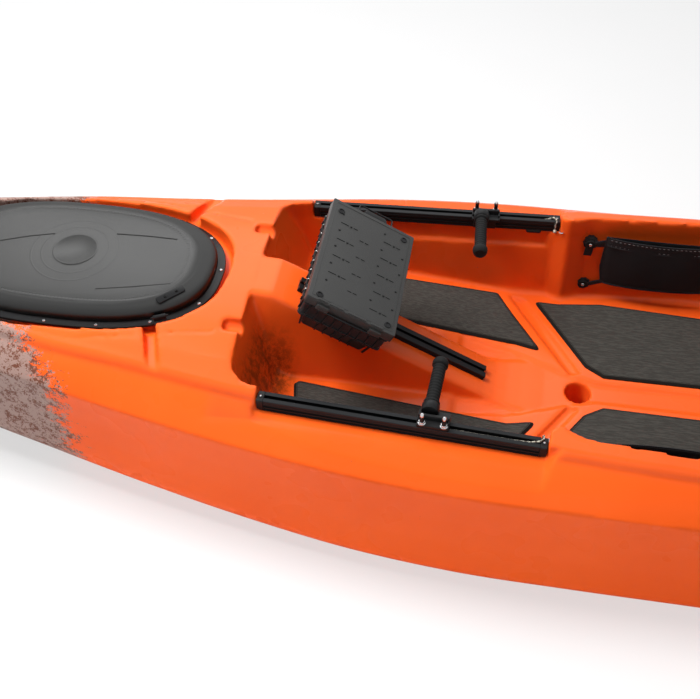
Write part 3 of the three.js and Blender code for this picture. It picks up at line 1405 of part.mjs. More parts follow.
// Seat: tube base on four legs, back frame that folds, and a stretched sling on each
const legInset = 46;
const legFootRadius = 19;
const legFootHeight = 12;
const pivotX = seatRearX - 12;
const pivotRise = 44;
const pivotZ = seatHeight + pivotRise;
const pivotEar = 5;
const pivotEarGap = 2;
const pivotPinRadius = 5;
const slingThickness = 5;
function seatBase() {
  const bend = 50;
  const loop = bentBar([
    [seatRearX, -seatHalfWidth, seatHeight], [seatFrontX, -seatHalfWidth, seatHeight],
    [seatFrontX, seatHalfWidth, seatHeight], [seatRearX, seatHalfWidth, seatHeight]],
    bend, seatTubeRadius, 10);
  const parts = [loop, bar([seatRearX - legInset, -seatHalfWidth, seatHeight],
    [seatRearX - legInset, seatHalfWidth, seatHeight], seatTubeRadius, 10)];
  const low = floorHeight + seatGap;
  for (const side of [-1, 1]) {
    for (const x of [seatFrontX + bend + legInset, seatRearX - legInset]) {
      const y = side * seatHalfWidth;
      parts.push(bar([x, y, low], [x, y, seatHeight], seatTubeRadius, 10));
      parts.push(bar([x, y, low], [x, y, low + legFootHeight], legFootRadius, 14));
    }
    const earY = side * (seatHalfWidth + seatTubeRadius + pivotEarGap + pivotEar / 2);
    const earLow = seatHeight - seatTubeRadius;
    const earHigh = pivotZ + 2.6 * pivotPinRadius;
    parts.push(block(5 * pivotPinRadius, pivotEar, earHigh - earLow, pivotX, earY, (earLow + earHigh) / 2));
    parts.push(bar([pivotX, side * seatHalfWidth, seatHeight],
      [pivotX, earY, seatHeight], seatTubeRadius * 0.8, 12));
  }
  const bore = bar([pivotX, -hullHalfBeam, pivotZ], [pivotX, hullHalfBeam, pivotZ],
    pivotPinRadius + hingePinClearance, 12);
  return wasm.Manifold.union(parts).subtract(bore);
}

const leanDirection = [Math.sin(seatBackLean), Math.cos(seatBackLean)];
const alongBack = (distance, forward = 0) => [
  pivotX + distance * leanDirection[0] - forward * leanDirection[1],
  pivotZ + distance * leanDirection[1] + forward * leanDirection[0],
];
function seatBack() {
  const [topX, topZ] = alongBack(seatBackLength);
  const hoop = bentBar([
    [pivotX, -seatHalfWidth, pivotZ], [topX, -seatHalfWidth, topZ],
    [topX, seatHalfWidth, topZ], [pivotX, seatHalfWidth, pivotZ]], 60, seatTubeRadius, 12);
  const [midX, midZ] = alongBack(seatBackLength * 0.42, -0.5 * seatTubeRadius);
  const brace = bar([midX, -seatHalfWidth, midZ], [midX, seatHalfWidth, midZ], seatTubeRadius * 0.7, 12);
  const pins = [-1, 1].map((side) => bar([pivotX, side * seatHalfWidth, pivotZ],
    [pivotX, side * (seatHalfWidth + seatTubeRadius + pivotEarGap + pivotEar + 2), pivotZ],
    pivotPinRadius, 12));
  return wasm.Manifold.union([hoop, brace, ...pins]);
}

function seatSling() {
  const low = seatHeight + seatTubeRadius + seatGap;
  const half = seatHalfWidth + seatTubeRadius * 0.8;
  const outline = roundedOutline([
    [seatFrontX - seatTubeRadius * 0.8, -half, 34], [pivotX - overrun * 0.6, -half, 8],
    [pivotX - overrun * 0.6, half, 8], [seatFrontX - seatTubeRadius * 0.8, half, 34]], 4);
  return solid(slab(outline, low, low + slingThickness));
}

function backSling() {
  const half = seatHalfWidth + seatTubeRadius * 0.8;
  const [low, high] = [overrun * 0.6, seatBackLength + seatTubeRadius * 0.8];
  const outline = roundedOutline([
    [low, -half, 8], [high, -half, 40], [high, half, 40], [low, half, 8]], 4);
  const near = seatTubeRadius + seatGap;
  return solid(loft([near, near + slingThickness].map((forward) => outline.map(([along, y]) => {
    const [x, z] = alongBack(along, forward);
    return new THREE.Vector3(x, y, z);
  }))));
}

add("seat_base_frame", seatBase(), darkAluminium);
add("seat_back_frame", seatBack(), darkAluminium);
add("seat_sling", seatSling(), blackFabric);
add("back_sling", backSling(), blackFabric);

export default kayak;
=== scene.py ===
import json
import math

import bmesh
import bpy
import numpy as np
from mathutils import Matrix, Vector


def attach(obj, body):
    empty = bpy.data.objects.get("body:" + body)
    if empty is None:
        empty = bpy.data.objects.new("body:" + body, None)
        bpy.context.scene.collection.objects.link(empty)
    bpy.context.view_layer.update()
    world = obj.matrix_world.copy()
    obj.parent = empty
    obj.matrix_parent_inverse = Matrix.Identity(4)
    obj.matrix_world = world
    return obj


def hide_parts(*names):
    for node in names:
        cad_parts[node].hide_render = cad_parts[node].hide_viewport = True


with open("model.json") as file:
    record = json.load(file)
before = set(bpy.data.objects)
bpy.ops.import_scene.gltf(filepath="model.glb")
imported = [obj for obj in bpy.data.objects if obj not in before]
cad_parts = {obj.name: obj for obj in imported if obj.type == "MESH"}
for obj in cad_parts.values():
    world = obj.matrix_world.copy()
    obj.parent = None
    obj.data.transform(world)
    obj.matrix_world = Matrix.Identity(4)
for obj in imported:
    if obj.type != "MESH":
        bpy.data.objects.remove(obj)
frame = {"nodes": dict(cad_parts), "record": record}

bl_info = {
    "name": "Fishing kayak dressing",
    "version": (1, 0, 0),
    "blender": (4, 5, 0),
    "location": "3D View > Sidebar > Kayak",
    "description": "Builds the looks of a sit-on-top fishing kayak over its solid frame",
    "category": "Object",
}

# Lengths in the shape code are millimetres in the frame of the boat: bow towards -X,
# port towards -Y, +Z up. mesh_of() and moved() turn them into metres.
MM = 0.001
SIDES = {"port": -1, "starboard": 1}


# sizes and colours

def length(label, text, value):
    """A property for a size"""
    return bpy.props.FloatProperty(name=label, description=text, default=value, unit="LENGTH")


def colour(label, text, value):
    """A property for a colour"""
    return bpy.props.FloatVectorProperty(name=label, description=text, default=value,
                                         size=3, min=0, max=1, subtype="COLOR")


class KayakSizes(bpy.types.PropertyGroup):
    """Sizes of the finer forms"""
    hull_cell: length("Hull cell", "Size of the cells that the hull is moulded from", 0.0045)
    hull_softening: bpy.props.IntProperty(
        name="Hull softening", description="Passes that round the hull's moulded edges",
        default=4, min=0)
    small_edge: length("Small edge", "Rounding on machined and moulded small parts", 0.0009)
    tick_pitch: length("Tick pitch", "Spacing of the raised ticks round the hatch lid", 0.0078)
    grip_ribs: bpy.props.IntProperty(name="Grip ribs", description="Ribs on a foot peg's grip",
                                     default=12, min=1)


class KayakColours(bpy.types.PropertyGroup):
    """Colours of the finishes, as linear values"""
    shell: colour("Shell", "Orange of the hull", (0.9, 0.115, 0.014))
    camo_pale: colour("Pale camouflage", "Pale speckle at the bow and stern", (0.28, 0.225, 0.2))
    camo_dark: colour("Dark camouflage", "Dark speckle at the bow and stern", (0.09, 0.05, 0.036))
    lid: colour("Lid", "Charcoal of the hatch and box lids", (0.034, 0.034, 0.033))
    plastic: colour("Plastic", "Black of moulded fittings", (0.0085, 0.0085, 0.009))
    rubber: colour("Rubber", "Black of grips, gasket and elastic", (0.008, 0.008, 0.008))
    anodised: colour("Anodised", "Black of rails, tracks and seat tubes", (0.014, 0.0145, 0.0155))
    steel: colour("Steel", "Bright screws, pins and nuts", (0.62, 0.62, 0.63))
    foam: colour("Foam", "Dark grey of the deck pads", (0.046, 0.043, 0.038))
    fabric: colour("Fabric", "Black of pouches, slings and webbing", (0.011, 0.011, 0.012))
    cord: colour("Cord", "Pale braided cord", (0.5, 0.46, 0.38))


def sizes():
    """The sizes that a user can change"""
    return bpy.context.scene.kayak_sizes


def colours():
    """The colours that a user can change"""
    return bpy.context.scene.kayak_colours


# shader expressions

class Signal:
    """A shader socket that takes part in Python sums and products"""

    def __init__(self, finish, socket):
        self.finish, self.socket = finish, socket

    def math(self, operation, *others):
        return self.finish.math(operation, self, *others)

    def __add__(self, other):
        return self.math("ADD", other)

    __radd__ = __add__

    def __sub__(self, other):
        return self.math("SUBTRACT", other)

    def __rsub__(self, other):
        return self.finish.math("SUBTRACT", other, self)

    def __mul__(self, other):
        return self.math("MULTIPLY", other)

    __rmul__ = __mul__

    def __truediv__(self, other):
        return self.math("DIVIDE", other)

    def __pow__(self, other):
        return self.math("POWER", other)

    def __abs__(self):
        return self.math("ABSOLUTE")


class Finish:
    """A material in the making"""

    def __init__(self, name):
        self.material = bpy.data.materials.new(name)
        self.material.use_nodes = True
        self.tree = self.material.node_tree
        self.shader = self.tree.nodes["Principled BSDF"]

    def node(self, kind, settings=None, sockets=None):
        """Adds a node: its settings first, then values or links for its sockets"""
        node = self.tree.nodes.new(kind)
        for key, value in (settings or {}).items():
            setattr(node, key, value)
        for key, value in (sockets or {}).items():
            self.put(node.inputs[key], value)
        return lambda output=0: Signal(self, node.outputs[output])

    def put(self, socket, value):
        """Sets a socket to a value or links a signal to it"""
        if isinstance(value, Signal):
            self.tree.links.new(value.socket, socket)
        elif socket.type == "RGBA":
            socket.default_value = (*tuple(value)[:3], 1)
        else:
            socket.default_value = value

    def math(self, operation, *values):
        """A Math node on values and signals"""
        return self.node("ShaderNodeMath", {"operation": operation}, dict(enumerate(values)))()

    def mix(self, share, first, second):
        """A colour between two"""
        return self.node("ShaderNodeMix", {"data_type": "RGBA"}, {0: share, 6: first, 7: second})(2)

    def place(self):
        """The point on the piece at rest, in metres, as three signals"""
        if not hasattr(self, "point"):
            self.point = self.node("ShaderNodeTexCoord")("Object")
            split = self.node("ShaderNodeSeparateXYZ", None, {0: self.point})
            self.axes = [split(i) for i in range(3)]
        return self.axes

    def stretched(self, x, y, z):
        """The point scaled along each axis"""
        self.place()
        return self.node("ShaderNodeVectorMath", {"operation": "MULTIPLY"},
                         {0: self.point, 1: (x, y, z)})()

    def noise(self, scale, detail=3.0, rough=0.5, stretch=(1, 1, 1)):
        """Noise from 0 to 1 over the piece"""
        return self.node("ShaderNodeTexNoise", None, {
            "Vector": self.stretched(*stretch), "Scale": scale, "Detail": detail,
            "Roughness": rough})()

    def step(self, value, low, high):
        """0 below low, 1 above high, smooth between"""
        return self.node("ShaderNodeMapRange", {"interpolation_type": "SMOOTHSTEP"}, {
            "Value": value, "From Min": low, "From Max": high})()

    def wave(self, value, pitch):
        """A wave from 0 to 1 of one length"""
        return (value * (2 * math.pi / pitch)).math("SINE") * 0.5 + 0.5

    def bump(self, height, depth, strength=1.0, after=None):
        """A normal from a height, with a depth in metres"""
        sockets = {"Height": height, "Distance": depth, "Strength": strength}
        if after is not None:
            sockets["Normal"] = after
        return self.node("ShaderNodeBump", None, sockets)()

    def surface(self, **values):
        """Sets the shader's own sockets and gives back the material"""
        for key, value in values.items():
            self.put(self.shader.inputs[key.replace("_", " ").title()
                                        .replace("Ior", "IOR")], value)
        return self.material


finishes = {}


def finish(look):
    """The material of a look, made when it is first asked for"""
    if look not in finishes:
        if look in PLAIN:
            name, base, *grain = PLAIN[look]
            if len(base) == 2:
                base = tuple(v * base[1] for v in getattr(colours(), base[0]))
            maker = plain_finish(base, *grain)
        else:
            name, maker = WORKED[look][0], WORKED[look][1]()
        finishes[look] = maker(Finish(name))
    return finishes[look]


# Where the hull's finish changes, in metres in the frame of the boat
CAMO_BOW = {"from": 1.33, "to": 1.53, "side_slope": 1.05, "side_reach": 0.29, "spread": 0.34}
CAMO_STERN = {"from": 0.3, "to": 1.2, "spread": 0.24}
# The near footwell's front wall gets painted shade with a stain in it, faded in over these spans
STAIN_AND_SHADE_FADE = {"aft": (0.655, 0.7), "fore": (-0.82, -0.775), "middle": (0.06, 0.11),
              "wall": (-0.336, -0.33), "top": (-0.37, -0.31), "edge": (-0.3, -0.2)}
FLANK_FADE = {"top": (-0.362, -0.335), "side": (0.334, 0.35), "bow": (0.79, 0.81)}
# Dark orange of the painted shade and stain on the near footwell's front wall
STAIN_AND_SHADE = (0.13, 0.03, 0.006)
SCUFF = (0.55, 0.35, 0.25)


def shell_finish(f):
    """Orange plastic with speckled ends, a footwell front wall darkened by painted shade with a stain in it,
    and its gloss on the deck
    """
    c = colours()
    x, y, z = f.place()
    tone = f.noise(3.0, 2.0)
    grain = f.noise(1400.0, 2.0, 0.6)
    peel = f.noise(9.0, 2.0)
    patches = f.noise(38.0, 5.0, 0.75, (0.6, 1.2, 1.2))
    flecks = f.noise(300.0, 3.0, 0.7)
    sideways = abs(y).math("MINIMUM", CAMO_BOW["side_reach"]) * CAMO_BOW["side_slope"]
    bow = f.step(0 - x + sideways, CAMO_BOW["from"], CAMO_BOW["to"])
    stern = f.step(x, CAMO_STERN["from"], CAMO_STERN["to"])
    spread = bow * CAMO_BOW["spread"] + stern * CAMO_STERN["spread"]
    camo = f.step(patches * 0.62 + flecks * 0.38 + spread, 0.655, 0.69)
    dark = f.step(f.noise(55.0, 4.0, 0.7) * 0.6 + flecks * 0.4, 0.49, 0.55)
    faded = tuple(v * k for v, k in zip(c.shell, (0.95, 0.9, 0.85)))
    orange = f.mix(f.step(tone, 0.35, 0.65), c.shell, faded)
    pattern = f.mix(dark, c.camo_pale, c.camo_dark)
    scuff = f.step(f.noise(60.0, 6.0, 0.75, (0.25, 1, 1)), 0.7, 0.78)
    low = f.step(0 - z, -0.06, -0.005)
    fade = STAIN_AND_SHADE_FADE
    footwell = f.step(0 - x, *fade["aft"]) * f.step(x, *fade["fore"]) * f.step(0 - y, *fade["middle"]) \
        * f.step(y, *fade["wall"]) * f.step(0 - z, *fade["top"])
    blotches = f.step(f.noise(60.0, 5.0, 0.75), 0.38, 0.64) * f.step(y, *fade["edge"])
    # Painted shade: a broad darkening over the whole wall, with darker stain blotches in it
    stain_and_shade = footwell * (blotches * 0.6 + 0.34)
    beyond = f.math("MAXIMUM", f.step(abs(y), *FLANK_FADE["side"]), f.step(0 - x, *FLANK_FADE["bow"]))
    flank = f.step(0 - z, *FLANK_FADE["top"]) * beyond
    worn = f.mix(f.math("MULTIPLY", scuff, low * 0.5), f.mix(camo * 0.92, orange, pattern), SCUFF)
    colour_here = f.mix(stain_and_shade.math("MINIMUM", 0.85), worn, STAIN_AND_SHADE)
    normal = f.bump(grain, 0.00004, 0.12)
    return f.surface(base_color=colour_here, roughness=0.24 + peel * 0.08, normal=normal,
                     specular_ior_level=0.06, coat_weight=0.36 - flank * 0.33, coat_roughness=0.26)


def plain_finish(base, rough, grain_scale, grain_depth):
    """A moulded or painted surface of one colour with a fine grain"""
    def maker(f):
        tone = f.noise(9.0, 3.0)
        grain = f.noise(grain_scale, 3.0, 0.6)
        lighter = tuple(min(v * 1.25 + 0.002, 1) for v in base)
        return f.surface(base_color=f.mix(tone, base, lighter),
                         specular_ior_level=0.16, roughness=rough - 0.06 + grain * 0.12,
                         normal=f.bump(grain, grain_depth, 0.5))
    return maker


def lid_finish(f):
    """Glossy charcoal with a matt stippled border, turned rings round its middle, and painted shade on its
    side wall
    """
    c = colours()
    x, y, z = f.place()
    across = (abs((x + 1.165) / 0.31) ** 2.5 + abs(y / 0.178) ** 2.5) ** 0.4
    border = f.step(across, 0.80, 0.86)
    stipple = f.noise(1100.0, 2.0, 0.6)
    smear = f.noise(7.0, 4.0, 0.6, (0.6, 1.6, 1))
    turned = ((x + 1.163) ** 2 + y ** 2) ** 0.5
    rings = f.step(f.wave(turned, 0.022), 0.90, 1.0) * f.step(0 - turned, -0.122, -0.1) \
        * f.step(turned, 0.045, 0.055)
    shade = f.mix(border, tuple(v * 0.62 for v in c.lid), tuple(v * 0.3 for v in c.lid))
    # Painted shade: the side wall under the lid's top is coloured nearly black, and made glossier
    wall = f.step(0 - z, -0.3985, -0.394)
    dark = f.mix(wall, shade, tuple(v * 0.16 for v in c.lid))
    return f.surface(base_color=dark, roughness=0.16 + border * 0.34 - wall * 0.22 + smear * 0.1,
                     specular_ior_level=0.4,
                     normal=f.bump(stipple, 0.0004, 0.5, f.bump(rings, 0.0003, 0.6)))


def box_lid_finish(f):
    """Stippled charcoal plastic"""
    c = colours()
    stipple = f.noise(1500.0, 2.0, 0.6)
    tone = f.noise(14.0, 3.0)
    shade = f.mix(tone, tuple(v * 0.8 for v in c.lid), tuple(v * 0.55 for v in c.lid))
    return f.surface(base_color=shade, specular_ior_level=0.42, roughness=0.42 + stipple * 0.1,
                     normal=f.bump(stipple, 0.0003, 0.6))


def foam_finish(f):
    """Brushed closed-cell foam, its grain along the boat"""
    c = colours()
    speck = f.noise(900.0, 3.0, 0.7)
    grain = f.noise(420.0, 3.0, 0.6, (0.12, 1, 1))
    lines = f.step(grain, 0.42, 0.62)
    return f.surface(base_color=f.mix(lines * 0.6 + speck * 0.4, tuple(v * 0.75 for v in c.foam),
                                      tuple(v * 1.5 for v in c.foam)),
                     specular_ior_level=0.2, roughness=0.86, normal=f.bump(lines + speck, 0.0005, 0.7))


def fabric_finish(pitch, lift=1.0):
    """Black woven cloth with a thread pitch, and lighter by a factor"""
    def maker(f):
        c = colours()
        x, y, z = f.place()
        along, over = f.wave(x + z * 0.35, pitch), f.wave(y * 0.6 + z, pitch)
        weave = f.math("MAXIMUM", along * (1 - over * 0.5), over * (1 - along * 0.5))
        fuzz = f.noise(700.0, 3.0, 0.7)
        return f.surface(
            base_color=f.mix(weave * 0.7 + fuzz * 0.3, tuple(v * 0.45 for v in c.fabric),
                             tuple(v * 1.8 * lift for v in c.fabric)),
            roughness=0.82, specular_ior_level=0.15, sheen_weight=0.06, sheen_roughness=0.4,
            normal=f.bump(weave + fuzz * 0.3, 0.0006, 0.8))
    return maker


def cord_finish(base, tracer, pitch):
    """Braided cord with a tracer thread"""
    def maker(f):
        x, y, z = f.place()
        spiral = f.wave(x + y * 1.3 + z * 0.9, pitch)
        back = f.wave(x - y * 1.3 + z * 0.4, pitch * 0.9)
        braid = f.math("MAXIMUM", spiral, back)
        dark = f.step(f.wave(x * 0.8 - y + z, pitch * 3.1), 0.55, 0.7)
        return f.surface(base_color=f.mix(dark, base, tracer), roughness=0.8,
                         normal=f.bump(braid, 0.0005, 0.8))
    return maker


def brushed(base, rough):
    """Anodised metal drawn along the boat"""
    def maker(f):
        lines = f.noise(900.0, 2.0, 0.5, (0.02, 1, 1))
        smear = f.noise(12.0, 3.0)
        return f.surface(base_color=f.mix(lines, base, tuple(min(v * 1.35, 1) for v in base)),
                         metallic=0.35, specular_ior_level=0.12,
                         roughness=rough + lines * 0.1 + smear * 0.06,
                         normal=f.bump(lines, 0.0001, 0.3))
    return maker


def steel_finish(f):
    """Bright drawn steel"""
    c = colours()
    lines = f.noise(1500.0, 2.0, 0.5)
    return f.surface(base_color=f.mix(lines, c.steel, tuple(v * 0.85 for v in c.steel)), metallic=1.0,
                     roughness=0.17 + lines * 0.12, normal=f.bump(lines, 0.00006, 0.3))


# Each moulded look: its finish's name, base, roughness, and its grain's scale and depth
PLAIN = {
    "black_plastic": ("black_plastic", ("plastic", 1), 0.42, 900.0, 0.0002),
    "black_rubber": ("black_rubber", ("rubber", 1), 0.66, 1300.0, 0.0003),
    "gloss_black": ("gloss_black", ("plastic", 1), 0.2, 500.0, 0.00006),
    "box_plastic": ("box_plastic", ("plastic", 1.3), 0.34, 1100.0, 0.0002),
    "foam_edge": ("foam_edge", ("foam", 0.2), 0.85, 1400.0, 0.0004),
    "foam_line": ("foam_line", ("foam", 0.3), 0.8, 1400.0, 0.0003),
    "mark_black": ("mark_black", (0.008, 0.008, 0.008), 0.3, 900.0, 0.0001),
    "thread": ("pale_thread", (0.22, 0.22, 0.22), 0.7, 2500.0, 0.0002),
}
# Each other look: its finish's name and what makes it
WORKED = {
    "hull": ("orange_shell", lambda: shell_finish),
    "black_lid": ("charcoal_lid", lambda: box_lid_finish),
    "hatch_top": ("hatch_top", lambda: lid_finish),
    "bare_steel": ("bright_steel", lambda: steel_finish),
    "grey_foam": ("deck_foam", lambda: foam_finish),
    "dark_aluminium": ("black_anodised", lambda: brushed(tuple(colours().anodised), 0.34)),
    "black_fabric": ("black_mesh_cloth", lambda: fabric_finish(0.0026)),
    "webbing": ("black_webbing", lambda: fabric_finish(0.0042, 1.6)),
    "lash_dark": ("black_cord", lambda: cord_finish((0.012, 0.012, 0.012), (0.05, 0.05, 0.05), 0.004)),
    "stretch_cord": ("stretch_cord", lambda: cord_finish((0.012, 0.012, 0.013), (0.3, 0.3, 0.3), 0.006)),
    "pale_cord": ("pale_cord", lambda: cord_finish(tuple(colours().cord), (0.12, 0.1, 0.08), 0.0035)),
    "lash_cord": ("two_tone_cord", lambda: cord_finish((0.012, 0.012, 0.012), (0.62, 0.62, 0.6), 0.009)),
}
# The CAD slot of each look that isn't a slot itself
SLOT_OF = {"hatch_top": "black_lid", "mark_black": "black_lid", "gloss_black": "black_plastic",
           "box_plastic": "black_plastic", "foam_line": "grey_foam", "webbing": "black_fabric",
           "thread": "black_fabric", "lash_cord": "pale_cord", "lash_dark": "pale_cord",
           "stretch_cord": "black_rubber"}


# mesh helpers

def piece(name, mesh, look, stands_for=(), body="hull", sharp=40):
    """Puts a mesh in the scene with its finish, on its body, in place of CAD nodes"""
    obj = bpy.data.objects.new(name, mesh)
    bpy.context.scene.collection.objects.link(obj)
    shade(mesh, sharp)
    mesh.materials.clear()
    mesh.materials.append(finish(look))
    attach(obj, body)
    if stands_for:
        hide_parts(*stands_for)
    SLOT_OF.get(look, look)
    return obj


def shade(mesh, sharp):
    """Smooth faces, with the edges that turn more than an angle kept sharp"""
    mesh.polygons.foreach_set("use_smooth", [True] * len(mesh.polygons))
    if sharp is None:
        return
    bm = bmesh.new()
    bm.from_mesh(mesh)
    limit = math.radians(sharp)
    for edge in bm.edges:
        if len(edge.link_faces) == 2 and edge.calc_face_angle(0) > limit:
            edge.smooth = False
    bm.to_mesh(mesh)
    bm.free()


def mesh_of(points, faces):
    """A mesh of points in millimetres, its faces turned outwards"""
    mesh = bpy.data.meshes.new("part")
    mesh.from_pydata([tuple(p) for p in np.asarray(points, float) * MM], [], [tuple(f) for f in faces])
    bm = bmesh.new()
    bm.from_mesh(mesh)
    bmesh.ops.recalc_face_normals(bm, faces=bm.faces)
    bm.to_mesh(mesh)
    bm.free()
    return mesh


def skin(rings, ends=True, loop=False):
    """A mesh through closed rings of equal count"""
    rings = [np.asarray(r, float) for r in rings]
    n, k = len(rings[0]), len(rings)
    faces = []
    for r in range(k if loop else k - 1):
        a, b = r * n, ((r + 1) % k) * n
        for i in range(n):
            j = (i + 1) % n
            faces.append((a + i, a + j, b + j, b + i))
    if ends and not loop:
        faces.append(tuple(range(n - 1, -1, -1)))
        faces.append(tuple(range((k - 1) * n, k * n)))
    return mesh_of(np.concatenate(rings), faces)


def flat(outline, z):
    """An outline laid at a height"""
    return [(x, y, z) for x, y in outline]


def prism(outline, low, high):
    """An upright prism on an outline"""
    return skin([flat(outline, low), flat(outline, high)])


def side_prism(profile, near, far):
    """A prism across the boat on a side outline"""
    return skin([[(x, y, z) for x, z in profile] for y in (near, far)])


def end_prism(section, back, front):
    """A prism along the boat on an end outline"""
    return skin([[(x, y, z) for y, z in section] for x in (back, front)])


def brick(lx, ly, lz, x=0, y=0, z=0):
    """A block about a middle point"""
    return prism([(x - lx / 2, y - ly / 2), (x + lx / 2, y - ly / 2), (x + lx / 2, y + ly / 2),
                  (x - lx / 2, y + ly / 2)], z - lz / 2, z + lz / 2)


def circle(radius, count):
    """Points round a circle"""
    angles = np.linspace(0, 2 * math.pi, count, endpoint=False)
    return np.stack([radius * np.cos(angles), radius * np.sin(angles)], 1)


def sweep(path, section, closed=False, up=(0, 0, 1)):
    """A section carried along a path without twist"""
    path = np.asarray(path, float)
    count = len(path)
    if closed:
        along = np.roll(path, -1, 0) - np.roll(path, 1, 0)
    else:
        along = np.gradient(path, axis=0)
    along /= np.linalg.norm(along, axis=1)[:, None]
    side = np.asarray(up, float)
    if abs(side @ along[0]) > 0.9:
        side = np.array([1.0, 0, 0]) if abs(along[0][0]) < 0.9 else np.array([0, 1.0, 0])
    rings = []
    for i in range(count):
        side = side - (side @ along[i]) * along[i]
        side /= np.linalg.norm(side)
        over = np.cross(along[i], side)
        rings.append([path[i] + a * side + b * over for a, b in section])
    return skin(rings, loop=closed)


def bent(corners, bend, steps=8):
    """Points along straight runs joined by round bends"""
    corners = [np.asarray(c, float) for c in corners]
    points = [corners[0]]
    for before, corner, after in zip(corners, corners[1:], corners[2:]):
        a = (before - corner) / np.linalg.norm(before - corner)
        b = (after - corner) / np.linalg.norm(after - corner)
        half = math.acos(max(-1, min(1, a @ b))) / 2
        back = bend / math.tan(half)
        if back < 0.01:
            points.append(corner)
            continue
        start, end = corner + a * back, corner + b * back
        for t in np.linspace(0, 1, steps + 1):
            points.append((1 - t) ** 2 * start + 2 * t * (1 - t) * corner + t * t * end)
    points.append(corners[-1])
    dense = [points[0]]
    for p, q in zip(points, points[1:]):
        gap = np.linalg.norm(q - p)
        for t in np.linspace(0, 1, max(int(gap // 60), 1) + 1)[1:]:
            dense.append(p + (q - p) * t)
    return dense


def rod(p, q, radius, sides=32):
    """A round bar"""
    p, q = np.asarray(p, float), np.asarray(q, float)
    u = (q - p) / np.linalg.norm(q - p)
    side = np.cross(u, [0, 0, 1.0])
    if np.linalg.norm(side) < 0.1:
        side = np.cross(u, [0, 1.0, 0])
    side /= np.linalg.norm(side)
    over = np.cross(u, side)
    full = np.linalg.norm(q - p)
    ring = circle(1.0, sides)
    return skin([[p + u * s + (side * a + over * b) * radius for a, b in ring] for s in (0, full)])


def turned(profile, sides=48, centre=(0, 0, 0), axis=(0, 0, 1), loop=False):
    """A profile of (radius, height) turned about an axis"""
    axis = np.asarray(axis, float) / np.linalg.norm(axis)
    side = np.cross(axis, [0, 1.0, 0])
    if np.linalg.norm(side) < 0.1:
        side = np.cross(axis, [1.0, 0, 0])
    side /= np.linalg.norm(side)
    over = np.cross(axis, side)
    ring = circle(1.0, sides)
    base = np.asarray(centre, float)
    return skin([[base + axis * h + (side * a + over * b) * max(r, 0.01) for a, b in ring]
                 for r, h in profile], loop=loop)


def oval(middle, half_length, half_width, count=120, squareness=2.5):
    """A squared oval along the boat, as the hatch has"""
    angles = np.linspace(0, 2 * math.pi, count, endpoint=False)
    c, s = np.cos(angles), np.sin(angles)
    e = 2 / squareness
    return np.stack([middle + half_length * np.sign(c) * abs(c) ** e,
                     half_width * np.sign(s) * abs(s) ** e], 1)


def rounded(corners, steps=8):
    """Rounds the corners of an outline, each by its own radius"""
    outline = []
    count = len(corners)
    for i, (x, y, radius) in enumerate(corners):
        corner = np.array([x, y], float)
        if not radius:
            outline.append((x, y))
            continue
        a = np.array(corners[i - 1][:2], float) - corner
        b = np.array(corners[(i + 1) % count][:2], float) - corner
        a, b = a / np.linalg.norm(a), b / np.linalg.norm(b)
        back = radius / math.tan(math.acos(max(-1, min(1, a @ b))) / 2)
        start, end = corner + a * back, corner + b * back
        for t in np.linspace(0, 1, steps + 1):
            p = (1 - t) ** 2 * start + 2 * t * (1 - t) * corner + t * t * end
            outline.append((p[0], p[1]))
    return outline


def mirror_outline(half):
    """Closes one side's outline with its mirror image"""
    return list(half) + [(x, -y, r) for x, y, r in reversed(half)]


def box_outline(length_x, width_y, radius, steps=8):
    """A rectangle with round corners about the origin"""
    x, y = length_x / 2, width_y / 2
    return rounded([(-x, -y, radius), (x, -y, radius), (x, y, radius), (-x, y, radius)], steps)


def inset_outline(outline, inset):
    """Draws a closed outline in along its own normals"""
    points = np.asarray(outline, float)
    keep = np.linalg.norm(points - np.roll(points, 1, 0), axis=1) > 1e-6
    points = points[keep]
    tangent = np.roll(points, -1, 0) - np.roll(points, 1, 0)
    tangent /= np.linalg.norm(tangent, axis=1)[:, None]
    normal = np.stack([-tangent[:, 1], tangent[:, 0]], 1)
    following = np.roll(points, -1, 0)
    area = np.sum(points[:, 0] * following[:, 1] - following[:, 0] * points[:, 1])
    return points + normal * inset * (1 if area > 0 else -1)


def soft_plate(outline, low, high, edge, steps=3):
    """A plate whose upper and lower edges are rounded"""
    rings = []
    for a in np.linspace(0, math.pi / 2, steps + 1):
        ring = inset_outline(outline, edge * (1 - math.sin(a)))
        rings.append(flat(ring, low + edge * (1 - math.cos(a))))
    for a in np.linspace(math.pi / 2, 0, steps + 1):
        ring = inset_outline(outline, edge * (1 - math.sin(a)))
        rings.append(flat(ring, high - edge * (1 - math.cos(a))))
    return skin(rings)


def joined(meshes):
    """One mesh of several"""
    bm = bmesh.new()
    for mesh in meshes:
        bm.from_mesh(mesh)
    whole = bpy.data.meshes.new("part")
    bm.to_mesh(whole)
    bm.free()
    return whole


def moved(mesh, matrix):
    """Moves a mesh by a matrix whose offset is in millimetres"""
    matrix = matrix.copy()
    matrix.translation = matrix.translation * MM
    mesh.transform(matrix)
    if matrix.determinant() < 0:
        mesh.flip_normals()
    return mesh


def shifted(mesh, x, y, z):
    """Moves a mesh by millimetres"""
    return moved(mesh, Matrix.Translation((x, y, z)))


def spin(axis, degrees):
    """A turn about an axis of the boat"""
    return Matrix.Rotation(math.radians(degrees), 4, axis)


